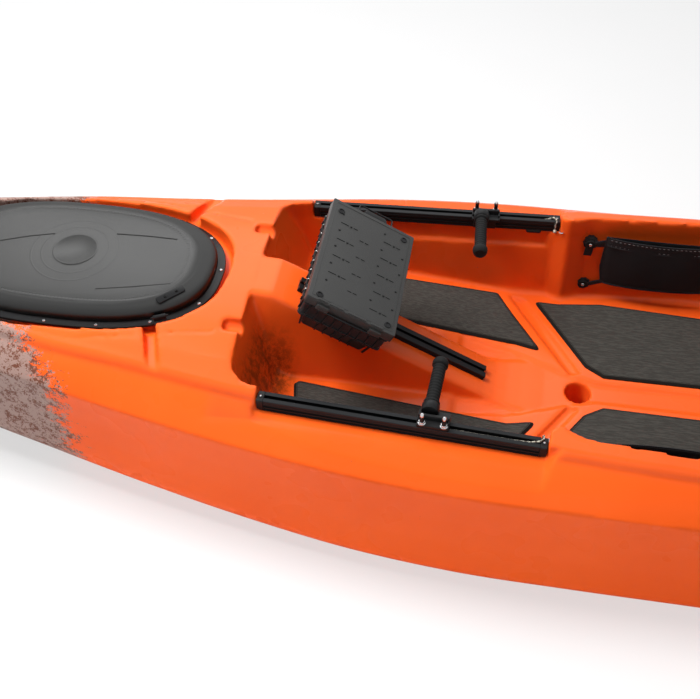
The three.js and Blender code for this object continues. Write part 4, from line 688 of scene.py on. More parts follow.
def worked(mesh, *modifiers):
    """The mesh after modifiers, each given as a type and its settings"""
    obj = bpy.data.objects.new("work", mesh)
    bpy.context.scene.collection.objects.link(obj)
    helpers = []
    for kind, settings in modifiers:
        modifier = obj.modifiers.new(kind.lower(), kind)
        for key, value in settings.items():
            if isinstance(value, bpy.types.Mesh):
                helper = bpy.data.objects.new("tool", value)
                bpy.context.scene.collection.objects.link(helper)
                helpers.append(helper)
                value = helper
            setattr(modifier, key, value)
    graph = bpy.context.evaluated_depsgraph_get()
    result = bpy.data.meshes.new_from_object(obj.evaluated_get(graph))
    for helper in [*helpers, obj]:
        bpy.data.objects.remove(helper)
    return result


def combined(operation, mesh, *tools):
    """Cuts tools from a mesh, joins them to it, or keeps what they share"""
    return worked(mesh, *[("BOOLEAN", {"operation": operation, "solver": "MANIFOLD", "object": tool})
                          for tool in tools])


def bevelled(mesh, width):
    """Rounds a mesh's sharp edges by a width in metres"""
    return worked(mesh, ("BEVEL", {"width": width, "segments": 2, "limit_method": "ANGLE",
                                   "angle_limit": math.radians(35)}))


# hull form

HALF_LENGTH = 1920
HALF_BEAM = 432
GUNWALE = 370
DECK_CROWN = 31
CROWN_POWER = 2.3
BILGE_RADIUS, BILGE_GROWTH, BILGE_MOST = 60, 170, 0.6
KEEL_TUNNEL = [(0, 18), (0.38, 18), (0.45, 15), (0.58, 3), (0.65, 0)]
SHOULDER, SHOULDER_MOST = 22, 0.5
CHINE_DROP, CHINE_MOST = 72, 0.3
SIDE_HOLLOW, SIDE_SWELL = 7, 2.5
STATION_PITCH, END_PITCH, END_ZONE = 22, 7, 110
ABOVE = 120
FLOOR = 150
FLOOR_RISE, RISE_FROM, RISE_TO = 62, -225, -678
DASH_FOOT = [(-692, 66), (-703, 72), (-712, 82)]
DASH_TOP = -774
COCKPIT = (-768, 830)
DRAFT = 14
FILLET = 15
FRONT_CORNER = 64
SIDE_PINCH, PINCH_DEPTH = 36, 17
RECESS_HALF, BAY_HALF, BAY_CORNER = 331, 299, 46
CONSOLE_FRONT, CONSOLE_TOP, CONSOLE_FOOT = -828, 400, 120
CONSOLE_HALF, CONSOLE_FLARE, CONSOLE_EDGE, CONSOLE_SPREAD = 57, 0.32, 13, 0.24
RUN_OUT = -272
RUN_OUT_STEPS = [(-250, 5), (-225, 1), (-195, -2), (-140, -6.2)]
TRACK_SEAT = 12.3
RAIL_MIDDLE = (-424.5, 308)
RAIL_LENGTH = 530
RAIL_WIDTH = 26
RAIL_HEIGHT = 27
RAIL_TOP = 357
RAIL_TOE = 3.14
RAIL_CAP = 14
RAMP_ANGLE = 27.53
RAMP_ORIGIN = (-464, 277)
HATCH_X = -1165
HATCH = {"lid": (304, 172.5), "rim": (320, 189), "hole": (270, 140), "moat": (338, 200)}
MOAT_Z = 356
LAND_Z = 371
MOAT_WALL = 30
STORE = {"front": -1780, "rear": -880, "wall": 8, "ceiling": 340}
# Front, rear and the half-width at each
TANKWELL = (955, 1640, 268, 132)
TANKWELL_FLOOR = 228
DRAIN = {"x": -968, "half": 13, "reach": (125, 432), "sweep": 0.35, "depth": 7}
ROD_NOTCH = {"y": 148, "radius": 15, "reach": (-36, 60), "height": (9, -1)}
PLUG = {"x": 1690, "seat": 20, "bore": 13.3, "drop": 5}
HOLDER = {"x": 893, "y": 236, "seat": 42.4, "bore": 24.3, "depth": 175, "lean": 10, "splay": 14}
GEAR_TRACK = {"length": 402, "width": 35, "x": 535, "y": 327}
SCUPPER_RADIUS = 28
SCUPPERS = [(-70, 0), (746, 215), (746, -215), (1050.2, 167.2), (1050.2, -167.2)]
# Each station's place along the half-length, half-widths at the side and the gunwale as shares of
# HALF_BEAM, keel rise and extra sheer as shares of GUNWALE
STATIONS = np.array([
    [-1, 0.035, 0.03, 0.84, 0.105], [-0.985, 0.1, 0.085, 0.63, 0.105],
    [-0.962, 0.18, 0.145, 0.45, 0.102], [-0.911, 0.31, 0.24, 0.25, 0.09],
    [-0.833, 0.435, 0.335, 0.11, 0.07], [-0.7375, 0.55, 0.428, 0.04, 0.045],
    [-0.621, 0.66, 0.54, 0.012, 0.022], [-0.5016, 0.772, 0.614, 0, 0.008],
    [-0.384, 0.872, 0.694, 0, 0], [-0.2656, 0.952, 0.756, 0, 0],
    [-0.148, 0.993, 0.795, 0, 0], [-0.032, 1, 0.824, 0, 0], [0.081, 1, 0.848, 0, 0],
    [0.234, 1, 0.866, 0, 0], [0.396, 0.985, 0.86, 0, 0], [0.573, 0.93, 0.8, 0, 0.005],
    [0.729, 0.805, 0.675, 0.03, 0.015], [0.859, 0.6, 0.49, 0.12, 0.03],
    [0.9375, 0.39, 0.31, 0.28, 0.04], [0.98, 0.19, 0.15, 0.5, 0.045],
    [1, 0.045, 0.036, 0.74, 0.045]])


def station(x):
    """Beam, gunwale, keel rise and sheer at a place along the boat"""
    place = x / HALF_LENGTH
    rows = STATIONS
    i = int(np.searchsorted(rows[:, 0], place))
    i = min(max(i, 1), len(rows) - 1)
    p0, p1 = rows[i - 1], rows[i]
    before, after = rows[max(i - 2, 0)], rows[min(i + 1, len(rows) - 1)]
    span = p1[0] - p0[0]
    t = (place - p0[0]) / span
    s0 = (p1 - before) / (p1[0] - before[0]) * span
    s1 = (after - p0) / (after[0] - p0[0]) * span
    v = (2 * t ** 3 - 3 * t ** 2 + 1) * p0 + (t ** 3 - 2 * t ** 2 + t) * s0 \
        + (3 * t ** 2 - 2 * t ** 3) * p1 + (t ** 3 - t ** 2) * s1
    return HALF_BEAM * v[1], HALF_BEAM * v[2], GUNWALE * max(v[3], 0), GUNWALE * (1 + v[4])


def deck_crown(gunwale):
    """How far the deck rises over the gunwale"""
    return DECK_CROWN * min(gunwale / HALF_BEAM / 0.5, 1)


def deck_z(x, y=0.0):
    """The deck's height"""
    _, gunwale, _, sheer = station(x)
    return sheer + deck_crown(gunwale) * (1 - min(abs(y) / gunwale, 1) ** CROWN_POWER)


def hull_ring(x, inset=0.0):
    """The hull's outline across the boat: keel tunnel, bilge, side, shoulder and deck"""
    beam, gunwale, keel, sheer = station(x)
    bilge = min(BILGE_RADIUS + BILGE_GROWTH * (1 - beam / HALF_BEAM), beam * BILGE_MOST)
    shoulder = min(SHOULDER, gunwale * SHOULDER_MOST)
    crown = deck_crown(gunwale)
    depth = sheer - keel
    flat_y = beam - bilge
    half = [(flat_y * share, keel + rise) for share, rise in KEEL_TUNNEL] + [(flat_y, keel)]
    for a in np.linspace(0, math.pi / 2, 9)[1:]:
        half.append((flat_y + bilge * math.sin(a), keel + bilge * (1 - math.cos(a))))
    top = sheer - min(CHINE_DROP, depth * CHINE_MOST)
    low = half[-1][1]
    hollow = SIDE_HOLLOW * beam / HALF_BEAM
    for t in (0.3, 0.6, 0.85):
        half.append((beam - hollow * 4 * t * (1 - t) * 0.9, low + (top - low) * t))
    half.append((beam, top))
    for t in (0.35, 0.7):
        swell = SIDE_SWELL * math.sin(math.pi * t)
        half.append((beam + (gunwale - beam) * t + swell, top + (sheer - shoulder - top) * t + swell))
    half.append((gunwale, sheer - shoulder))
    for a in np.linspace(0, math.pi / 2, 6)[1:]:
        half.append((gunwale - shoulder * (1 - math.cos(a)), sheer - shoulder * (1 - math.sin(a))))
    for u in (0.8, 0.65, 0.5, 0.35, 0.18, 0):
        y = min(gunwale * u, gunwale - shoulder)
        half.append((y, sheer + crown * (1 - u ** CROWN_POWER)))
    if inset:
        middle = (keel + sheer) / 2
        half = [(max(y - inset * (y > flat_y), 0),
                 min(z - inset, sheer + crown - inset) if z > middle else max(z + inset, keel + inset))
                for y, z in half]
    whole = half + [(-y, z) for y, z in reversed(half[1:-1])]
    return [(x, y, z) for y, z in whole]


def hull_skin(front, rear, inset=0.0):
    """The hull's outside between two places, or a surface drawn in from it"""
    xs = [front]
    while xs[-1] < rear - 1:
        near_end = min(xs[-1] + HALF_LENGTH, HALF_LENGTH - xs[-1])
        xs.append(min(xs[-1] + (END_PITCH if near_end < END_ZONE else STATION_PITCH), rear))
    return skin([hull_ring(x, inset) for x in xs])


def well(outline, floor, fillet, draft, wall_top, steps=6):
    """A cut whose walls lean in towards a floor with a rounded foot"""
    points = np.asarray(outline, float)
    middle = (points[:, 0].min() + points[:, 0].max()) / 2
    half_length = (points[:, 0].max() - points[:, 0].min()) / 2
    half_width = points[:, 1].max()

    def ring(inset, z):
        return [(middle + (x - middle) * (half_length - inset) / half_length,
                 y * (half_width - inset) / half_width, z) for x, y in points]
    rings = []
    for a in np.linspace(0, math.pi / 2, steps + 1):
        rings.append(ring(draft + fillet * (1 - math.sin(a)), floor + fillet * (1 - math.cos(a))))
    rings.append(ring(0, wall_top))
    rings.append(ring(0, wall_top + ABOVE))
    return skin(rings)


def console_form():
    """The ramp between the footwells, from the dash down to the floor"""
    slope = math.tan(math.radians(RAMP_ANGLE))
    drop = TRACK_SEAT / math.cos(math.radians(RAMP_ANGLE))
    crest = RAMP_ORIGIN[0] - (CONSOLE_TOP - RAMP_ORIGIN[1] + drop) / slope

    def ramp_z(x):
        return RAMP_ORIGIN[1] - drop - (x - RAMP_ORIGIN[0]) * slope

    def section(x, top_z):
        half = CONSOLE_HALF + max(0, x - RUN_OUT) * CONSOLE_SPREAD
        base = half + (top_z - CONSOLE_FOOT) * CONSOLE_FLARE
        ring = rounded([(-base, CONSOLE_FOOT, 0), (base, CONSOLE_FOOT, 0), (half, top_z, CONSOLE_EDGE),
                        (-half, top_z, CONSOLE_EDGE)], 5)
        return [(x, y, z) for y, z in ring]
    bend = 30
    stops = [(CONSOLE_FRONT, CONSOLE_TOP), (crest - bend, CONSOLE_TOP), (crest, CONSOLE_TOP - 1.5),
             (crest + bend, ramp_z(crest + bend)), (RUN_OUT, ramp_z(RUN_OUT))]
    stops += [(x, FLOOR + rise) for x, rise in RUN_OUT_STEPS]
    return skin([section(x, z) for x, z in stops])


def cockpit_cut():
    """The cockpit's space, with the rails' straight walls, the side bays and the leaning dash"""
    toe = math.radians(RAIL_TOE)
    reach, spread = RAIL_LENGTH / 2 * math.cos(toe), RAIL_LENGTH / 2 * math.sin(toe)
    inner = RAIL_MIDDLE[1] - RAIL_WIDTH / 2
    front, rear = RAIL_MIDDLE[0] - reach, RAIL_MIDDLE[0] + reach
    pinch = SIDE_PINCH
    half = [(COCKPIT[0], inner - spread - BAY_CORNER * 0.2, FRONT_CORNER), (front, inner - spread, 0),
            (rear, inner + spread, 0), (rear + pinch, inner + spread - PINCH_DEPTH, 14),
            (rear + 2.3 * pinch, RECESS_HALF - PINCH_DEPTH, 18), (rear + 9 * pinch, RECESS_HALF, 20),
            (rear + 10 * pinch, RECESS_HALF, 20), (rear + 12.5 * pinch, BAY_HALF, 30),
            (COCKPIT[1], BAY_HALF, BAY_CORNER)]
    cut = well(rounded(mirror_outline(half)), FLOOR, FILLET, DRAFT, RAIL_TOP - RAIL_HEIGHT)
    top, below = GUNWALE + DECK_CROWN, FLOOR - 60
    slope = [(RISE_FROM, FLOOR), (RISE_TO, FLOOR + FLOOR_RISE)]
    foot = [(x, FLOOR + rise) for x, rise in DASH_FOOT]
    fill = side_prism([(RISE_FROM, below), *slope, *foot, (DASH_TOP, top), (CONSOLE_FRONT, top),
                       (CONSOLE_FRONT, below)], -HALF_BEAM, HALF_BEAM)
    return combined("DIFFERENCE", cut, fill, console_form())


def rail_frame(side):
    """Places what is drawn along a foot rail, from its middle, on one side"""
    return Matrix.Translation((RAIL_MIDDLE[0], side * RAIL_MIDDLE[1], RAIL_TOP - RAIL_HEIGHT)) \
        @ spin("Z", side * RAIL_TOE)


def rod_holder_frame(side):
    """Places what is drawn about a rod holder's mouth"""
    mouth = Matrix.Translation((HOLDER["x"], side * HOLDER["y"], GUNWALE + DECK_CROWN * 0.4))
    return mouth @ spin("Y", HOLDER["lean"]) @ spin("X", -side * HOLDER["splay"])


def floor_height(x):
    """The cockpit floor's height, which rises towards the dash"""
    return FLOOR + max(0, (RISE_FROM - x) * FLOOR_RISE / (RISE_FROM - RISE_TO))


def floor_cut(outline, depth):
    """A groove sunk in the cockpit's floor, which rises towards the bow"""
    dense = []
    for (x0, y0), (x1, y1) in zip(outline, outline[1:] + outline[:1]):
        count = max(int(abs(x1 - x0) // 20), 1)
        dense += [(x0 + (x1 - x0) * t / count, y0 + (y1 - y0) * t / count) for t in range(count)]
    return skin([[(x, y, floor_height(x) + rise) for x, y in dense] for rise in (-depth, 12)])


SHELF_PROFILE = ((14, 0), (44, 0), (94, -16), (170, -16), (170, 140), (14, 140))
SHELF_STOPS = ((-332, 72), (-280, 0), (280, 0), (332, 72))
POCKET = {"width": 41, "height": 60, "gap": 0.3}


def rail_shelf(side):
    """The lowered gunwale beside a foot rail, in the rail's own frame"""
    return skin([[(x, side * y, z - POCKET["gap"] + lift) for y, z in SHELF_PROFILE]
                 for x, lift in SHELF_STOPS])


FLOOR_PAN = [(-340, 120), (-222, 98), (-100, 50), (-34, 29), (330, 29)]
PAN_DEPTH = 6
FLOOR_CHANNEL = [(-90, 44), (-66, 52), (-200, 268), (-240, 276)]
CHANNEL_DEPTH = 9
DECK_SEAMS = [((-933, 189), (-816, 171)), ((-1172, 232), (-971, 200))]
SEAM_HALF, SEAM_DEPTH = 4, 5


def hatch_cutters():
    """The moat round the hatch, the relief behind its hinge, the hole and the store under it"""
    moat, hole = HATCH["moat"], HATCH["hole"]
    relief = {"length": 44, "width": 160, "height": 60, "back": 12, "rise": 22}
    rim_half = [half - MOAT_WALL for half in moat]
    channel = skin([flat(oval(HATCH_X, moat[0] - 1.5, moat[1] - 1.5), MOAT_Z),
                    flat(oval(HATCH_X, *moat), LAND_Z + 2)])
    island = prism(oval(HATCH_X, *rim_half), MOAT_Z - 60, LAND_Z + 60)
    store = hull_skin(STORE["front"], STORE["rear"], STORE["wall"])
    ceiling = brick(1200, 900, 200, -1300, 0, STORE["ceiling"] + 100)
    return [
        prism(oval(HATCH_X, *moat), LAND_Z, LAND_Z + ABOVE),
        brick(relief["length"], relief["width"], relief["height"], HATCH_X - moat[0] + relief["back"], 0,
              LAND_Z + relief["rise"] + relief["height"] / 2),
        combined("DIFFERENCE", channel, island),
        prism(oval(HATCH_X, *hole), MOAT_Z - 60, LAND_Z + 60),
        combined("DIFFERENCE", store, ceiling)]


def stern_cutters():
    """The tankwell and the drain plug's seat and bore"""
    front, rear, front_half, rear_half = TANKWELL
    outline = rounded(mirror_outline([(front, front_half, 46), (rear, rear_half, 46)]))
    x, z = PLUG["x"], deck_z(PLUG["x"]) - PLUG["drop"]
    return [well(outline, TANKWELL_FLOOR, FILLET, DRAFT, GUNWALE),
            rod((x, 0, z), (x, 0, z + 60), PLUG["seat"]),
            rod((x, 0, z - 60), (x, 0, z + 1), PLUG["bore"])]


def seam_cut(start, end, side):
    """A shallow line in the deck"""
    (x0, y0), (x1, y1) = start, end
    width = np.array([y1 - y0, x0 - x1]) / math.hypot(x1 - x0, y1 - y0) * SEAM_HALF
    seam = [(x0 - width[0], side * (y0 - width[1])), (x0 + width[0], side * (y0 + width[1])),
            (x1 + width[0], side * (y1 + width[1])), (x1 - width[0], side * (y1 - width[1]))]
    return skin([[(x, y, deck_z(x, y) - SEAM_DEPTH) for x, y in seam], flat(seam, 480)])


def side_cutters(side):
    """What is cut on each side: rail pocket and ledge, drain, rod notch, channel and holders"""
    at, gap, height = rail_frame(side), POCKET["gap"], POCKET["height"]
    pocket = brick(RAIL_LENGTH + 2 * (RAIL_CAP + 1), POCKET["width"], height,
                   0, -side * 6.5, height / 2 - gap)
    ledge = brick(RAIL_LENGTH - 26, 40, 46, 6, -side * 29, -22)
    inner, outer = DRAIN["reach"]
    ahead, behind = DRAIN["x"] - DRAIN["half"], DRAIN["x"] + DRAIN["half"]
    sweep_back = (outer - inner) * DRAIN["sweep"]
    drain = [(ahead, side * inner), (behind, side * inner), (behind + sweep_back, side * outer),
             (ahead + sweep_back, side * outer)]
    _, _, _, sheer = station(COCKPIT[0])
    notch_z, notch_y = sheer + DECK_CROWN * 0.45, side * ROD_NOTCH["y"]
    ends = [(COCKPIT[0] + along, notch_y, notch_z + up)
            for along, up in zip(ROD_NOTCH["reach"], ROD_NOTCH["height"])]
    holder = rod_holder_frame(side)
    return [
        moved(pocket, at), moved(ledge, at), prism(drain, LAND_Z - DRAIN["depth"], LAND_Z + 110),
        rod(*ends, ROD_NOTCH["radius"]),
        floor_cut([(x, side * y) for x, y in FLOOR_CHANNEL], CHANNEL_DEPTH),
        moved(rail_shelf(side), at),
        *[seam_cut(start, end, side) for start, end in DECK_SEAMS],
        moved(rod((0, 0, 0), (0, 0, ABOVE), HOLDER["seat"]), holder),
        moved(rod((0, 0, -HOLDER["depth"]), (0, 0, 60), HOLDER["bore"]), holder),
        brick(GEAR_TRACK["length"], GEAR_TRACK["width"], 60, GEAR_TRACK["x"], side * GEAR_TRACK["y"],
              GUNWALE + 1 + 30)]


def hull_cutters():
    """Everything that is cut from the hull's outside"""
    pan = floor_cut(FLOOR_PAN + [(x, -y) for x, y in FLOOR_PAN[::-1]], PAN_DEPTH)
    hatch, stern = hatch_cutters(), stern_cutters()
    cuts = [cockpit_cut(), combined("DIFFERENCE", pan, console_form()), *hatch[:-1], *stern]
    for side in SIDES.values():
        cuts += side_cutters(side)
    cuts += [rod((x, y, -60), (x, y, GUNWALE), SCUPPER_RADIUS, 40) for x, y in SCUPPERS]
    return [*cuts, hatch[-1]]


class KAYAK_OT_hull(bpy.types.Operator):
    """Moulds the hull with its wells, lands and grooves, and softens its edges"""
    bl_idname = "kayak.hull"
    bl_label = "Hull"

    def execute(self, context):
        outer = hull_skin(-HALF_LENGTH, HALF_LENGTH)
        cut = combined("DIFFERENCE", outer, *hull_cutters())
        mesh = worked(cut, ("REMESH", {"mode": "VOXEL", "voxel_size": sizes().hull_cell}),
                      ("SMOOTH", {"factor": 0.5, "iterations": sizes().hull_softening}))
        if len(mesh.vertices) < 10000:
            raise RuntimeError("the hull's moulding failed")
        piece("moulded_hull", mesh, "hull", ["hull"], sharp=None)
        return {"FINISHED"}


# hatch

# Profiles round the hatch, as insets from an oval and heights
RIM_PROFILE = ((0, 371.4), (0, 375.2), (0.6, 376.6), (2, 377.3), (40, 377.3), (42.5, 379), (43.6, 382),
               (44, 393.2), (45.6, 395.2), (51.4, 395.2), (53, 393.2), (53, 349), (51.4, 347.4),
               (46, 347.4), (44.4, 349), (44, 371.4))
GASKET_PROFILE = ((0.2, 395.4), (0.2, 397), (1.2, 398.2), (3, 398.6), (4.8, 398.2), (5.8, 397),
                  (5.8, 395.4))
GASKET = (273, 142)
LID_EDGE = ((0.6, 377.8), (0, 379.5), (0, 388), (0.8, 392.4), (3, 396.6), (6.6, 399.6), (11, 401.4),
            (16, 402.6), (30, 405.4), (33, 405.9), (34.5, 405.2), (36, 405.5))
LID_UNDERSIDE = ((2.4, 377.8), (4, 379), (5, 390), (12, 396.4), (24, 398.4), (60, 400))
LID_PEAK, LID_FALL = 412.4, 10.5
LUGS = {"x": -1481, "y": (-44, 44), "z": 386}
# A tick's places across the path with its half-width there, and its section as shares and heights
TICK_LENGTHS = ((-3.6, 0.3), (-2.4, 0.95), (2.4, 0.95), (3.6, 0.3))
TICK_SECTION = ((-1, -0.6), (-0.6, 0.75), (0.6, 0.75), (1, -0.6))
BEADS = ((((-1380, -14), (-1334, 6), (-1275, 28), (-1224, 43)), 1.3),
         (((-1091, 63), (-1025, 68), (-959, 70)), 1.5),
         (((-1083, -106), (-1010, -88), (-935, -65)), 1.1))
ROUNDEL = ((0, 0.3), (44, 0.3), (45, 0.9), (47, 1.0), (48.5, 0.2), (48.5, -1), (0, -1))
RIM_SCREWS = {"oval": (312.5, 181.5), "z": 377.2, "pitch": 106, "start": 20, "radius": 3.9}
STRAP = {"place": (-926.5, -96, 404.3), "turn": 47, "tilt": 13, "rivets": (-13, 14)}


def ring_path(half_length, half_width):
    """An oval about the hatch's middle"""
    return oval(HATCH_X, half_length, half_width, 160)


def ringed(profile, base):
    """A closed profile of (inset, height) carried round the hatch's oval"""
    return skin([flat(ring_path(base[0] - inset, base[1] - inset), z) for inset, z in profile],
                loop=True)


def screw_head(x, y, z, radius=4.2, frame_at=None):
    """A pan head with a socket"""
    head = turned([(0, 0), (radius, 0), (radius, 0.9), (radius * 0.8, 2.0), (radius * 0.5, 2.3),
                   (radius * 0.42, 1.4), (0, 1.4)], 20)
    head = shifted(head, x, y, z)
    return moved(head, frame_at) if frame_at is not None else head


def spaced(path, pitch, start=0.0):
    """Points at an even spacing along a closed path, each with its direction"""
    path = np.asarray(path, float)
    following = np.roll(path, -1, 0)
    steps = np.linalg.norm(following - path, axis=1)
    along = np.concatenate([[0], np.cumsum(steps)])
    count = max(int(round(along[-1] / pitch)), 1)
    found = []
    for i in range(count):
        s = (start + i * along[-1] / count) % along[-1]
        k = min(int(np.searchsorted(along, s, "right")) - 1, len(path) - 1)
        t = (s - along[k]) / steps[k]
        found.append((path[k] * (1 - t) + following[k] * t, (following[k] - path[k]) / steps[k]))
    return found


def lid_top(x, y):
    """The height of the lid's dome"""
    reach, width = HATCH["lid"]
    share = (abs((x - HATCH_X) / reach) ** 2.5 + abs(y / width) ** 2.5) ** 0.4
    return LID_PEAK - LID_FALL * share ** 2


def lid_bead(points, radius):
    """A thin raised line over the lid"""
    path = bent([(x, y, lid_top(x, y)) for x, y in points], 30)
    path = [(x, y, lid_top(x, y) + 0.15) for x, y, _ in path]
    return sweep(path, circle(radius, 8))


def lid_tick(point, way):
    """A short raised bar across a path round the lid"""
    across = (-way[1], way[0])
    z = lid_top(*point) + 0.1
    rings = []
    for along, half in TICK_LENGTHS:
        x, y = point[0] + across[0] * along, point[1] + across[1] * along
        rings.append([(x + way[0] * half * share, y + way[1] * half * share, z + rise)
                      for share, rise in TICK_SECTION])
    return skin(rings)


def lid_shell():
    """The lid's domed shell: its underside from the middle outwards, then edge and dome"""
    reach, width = HATCH["lid"]
    under = [flat(ring_path(reach - inset, width - inset), z) for inset, z in LID_UNDERSIDE]
    under += [flat(ring_path(reach * s, width * s), 405 - 4 * s) for s in (0.3, 0.01)]
    rings = [flat(ring_path(reach - inset, width - inset), z) for inset, z in LID_EDGE]
    for share in (0.7, 0.55, 0.4, 0.25, 0.1, 0.01):
        rings.append([(x, y, lid_top(x, y)) for x, y in ring_path(reach * share, width * share)])
    return skin(under[::-1] + rings)


class KAYAK_OT_hatch(bpy.types.Operator):
    """Makes the hatch's rim, gasket, lid and their small parts"""
    bl_idname = "kayak.hatch"
    bl_label = "Bow hatch"

    def execute(self, context):
        reach, width = HATCH["lid"]
        rim, gasket = ringed(RIM_PROFILE, HATCH["rim"]), ringed(GASKET_PROFILE, GASKET)
        piece("hatch_rim_moulding", rim, "gloss_black", ["hatch_rim"])
        piece("hatch_gasket_bead", gasket, "black_rubber", ["hatch_gasket"])
        lugs = [shifted(soft_plate(box_outline(16, 22, 4), -5, 5, 1.5), LUGS["x"], y, LUGS["z"])
                for y in LUGS["y"]]
        piece("hatch_lid_moulding", joined([lid_shell(), *lugs]), "hatch_top", ["hatch_lid"],
              "hatch_lid")

        border = spaced(ring_path(reach * 0.8, width * 0.8), sizes().tick_pitch / MM)
        piece("hatch_lid_ticks", joined([lid_tick(*place) for place in border]), "hatch_top",
              body="hatch_lid")
        beads = [lid_bead(points, radius) for points, radius in BEADS]
        beads.append(turned([(r, lid_top(HATCH_X + r, 0) + rise) for r, rise in ROUNDEL], 72,
                            (HATCH_X + 2, 0, 0)))
        piece("hatch_lid_beads", joined(beads), "hatch_top", body="hatch_lid")

        around = spaced(ring_path(*RIM_SCREWS["oval"]), RIM_SCREWS["pitch"], RIM_SCREWS["start"])
        screws = [screw_head(x, y, RIM_SCREWS["z"], RIM_SCREWS["radius"]) for (x, y), _ in around]
        piece("hatch_rim_screws", joined(screws), "bare_steel")
        strap = soft_plate(box_outline(64, 16, 5), 0, 3.4, 1.0)
        at = Matrix.Translation(STRAP["place"]) @ spin("Z", STRAP["turn"]) @ spin("X", STRAP["tilt"])
        rivets = [screw_head(x, 0, 3.2, 3.2, at) for x in STRAP["rivets"]]
        piece("hatch_lid_strap", moved(strap, at), "gloss_black", body="hatch_lid")
        piece("hatch_lid_rivets", joined(rivets), "black_rubber", body="hatch_lid")
        return {"FINISHED"}


# rails and pegs

def slotted(width, height, slot, depth, grooves):
    """A track's end outline: undercut slot on top, grooves down its sides"""
    half, lip = width / 2, min(2.6, depth * 0.3)
    wide = slot / 2 + 3
    top = [(-half, height - 1), (-half + 1, height), (-slot / 2, height), (-slot / 2, height - lip),
           (-wide, height - lip), (-wide, height - depth), (wide, height - depth), (wide, height - lip),
           (slot / 2, height - lip), (slot / 2, height), (half - 1, height), (half, height - 1)]
    right = []
    for low, high, deep in sorted(grooves, reverse=True):
        right += [(half, high), (half - deep, high - 0.6), (half - deep, low + 0.6), (half, low)]
    return [(-half, 0)] + [(-y, z) for y, z in right[::-1]] + top + right + [(half, 0)]


# Each groove's lower edge, upper edge and depth
RAIL_GROOVES = ((2.5, 7.5, 1.8), (10, 17, 2.4), (19.5, 21.5, 0.8))
# Each screw's place along the rail, depth under its top and radius
RAIL_SCREWS = ((-205, 8.9, 3.4), (-70, 8.9, 3.4), (205, 8.9, 3.4), (-272, 0.6, 2.6), (272, 0.6, 2.6))
CAP_LIP = ((0, 0), (5.2, 0), (5.2, 0.7), (4.4, 1.0), (3.9, 0.3), (0, 0.3))
PEG_PLACE = {"port": 64, "starboard": 112}
# Places along the rail, shares of the cord's offset and heights over the rail's foot
CORD_WAY = ((95.4, 0, 19.9), (159, 0, 19.9), (212, 0, 19.9), (243.8, 0, 21.5), (264.3, 0, 29.5),
            (269.9, 0.4, 29.5), (269.9, 0.86, 29.5), (268.5, 1, 22.95), (268.5, 1, 8.1))
CORD_OFF, CORD_RADIUS, CORD_KNOT = 18.1, 1.6, 4.6
KNOT_PROFILE = ((0, -4.2), (2.6, -3.6), (4.3, -1.4), (4.5, 0.6), (3.4, 3), (1.8, 4.6), (0, 4.8))
EYELET_PROFILE = ((3.2, 0), (6.5, 0), (6.6, 0.8), (5.4, 1.8), (3.4, 1.6), (2.6, 0.8))
# The grip's axis stands this far ahead of the peg's middle and over the rail's foot
GRIP_X, GRIP_Z = -10, 41.3
BOSS_PROFILE = ((0, 16), (15.4, 16), (17, 18), (17, 33), (15.8, 34.6), (0, 34.6))
GRIP_RIBBED = (44, 132)
# One rib of the grip: shares of its pitch, and radii
GRIP_RIB = ((0, 11.5), (0.2, 11.6), (0.38, 12.9), (0.72, 13.1), (0.94, 11.7))
GRIP_NEAR = ((0, 36), (15.4, 36), (15.8, 37), (15.8, 40), (14.4, 41.4), (12.2, 41.8))
GRIP_FAR = ((11.6, 133), (13, 134), (15, 134.8), (15.9, 136), (15.9, 143), (15.2, 146.4), (13.6, 149.4),
            (11.5, 151), (10.8, 151.6), (9.6, 151.2), (9.4, 150), (0, 150))
SLEEVE_PROFILE = ((0, 5), (4.8, 5), (4.8, 6.4), (4.2, 6.8), (4.2, 17.2), (4.8, 17.6), (4.8, 19), (0, 19))
CAP_NUT_PROFILE = ((0, 19), (4.3, 19), (4.3, 22.6), (3.6, 24.6), (2.2, 25.8), (0, 26.2))
WASHER_PROFILE = ((0, -0.1), (7.4, -0.1), (7.4, 0.9), (6.6, 1.1), (0, 1.1))


def grip_profile(ribs):
    """A foot peg's grip from its foot to its end"""
    start, end = GRIP_RIBBED
    pitch = (end - start) / ribs
    ribbed = [(radius, start + k * pitch + pitch * share) for k in range(ribs) for share, radius in GRIP_RIB]
    return [*GRIP_NEAR, *ribbed, *GRIP_FAR]


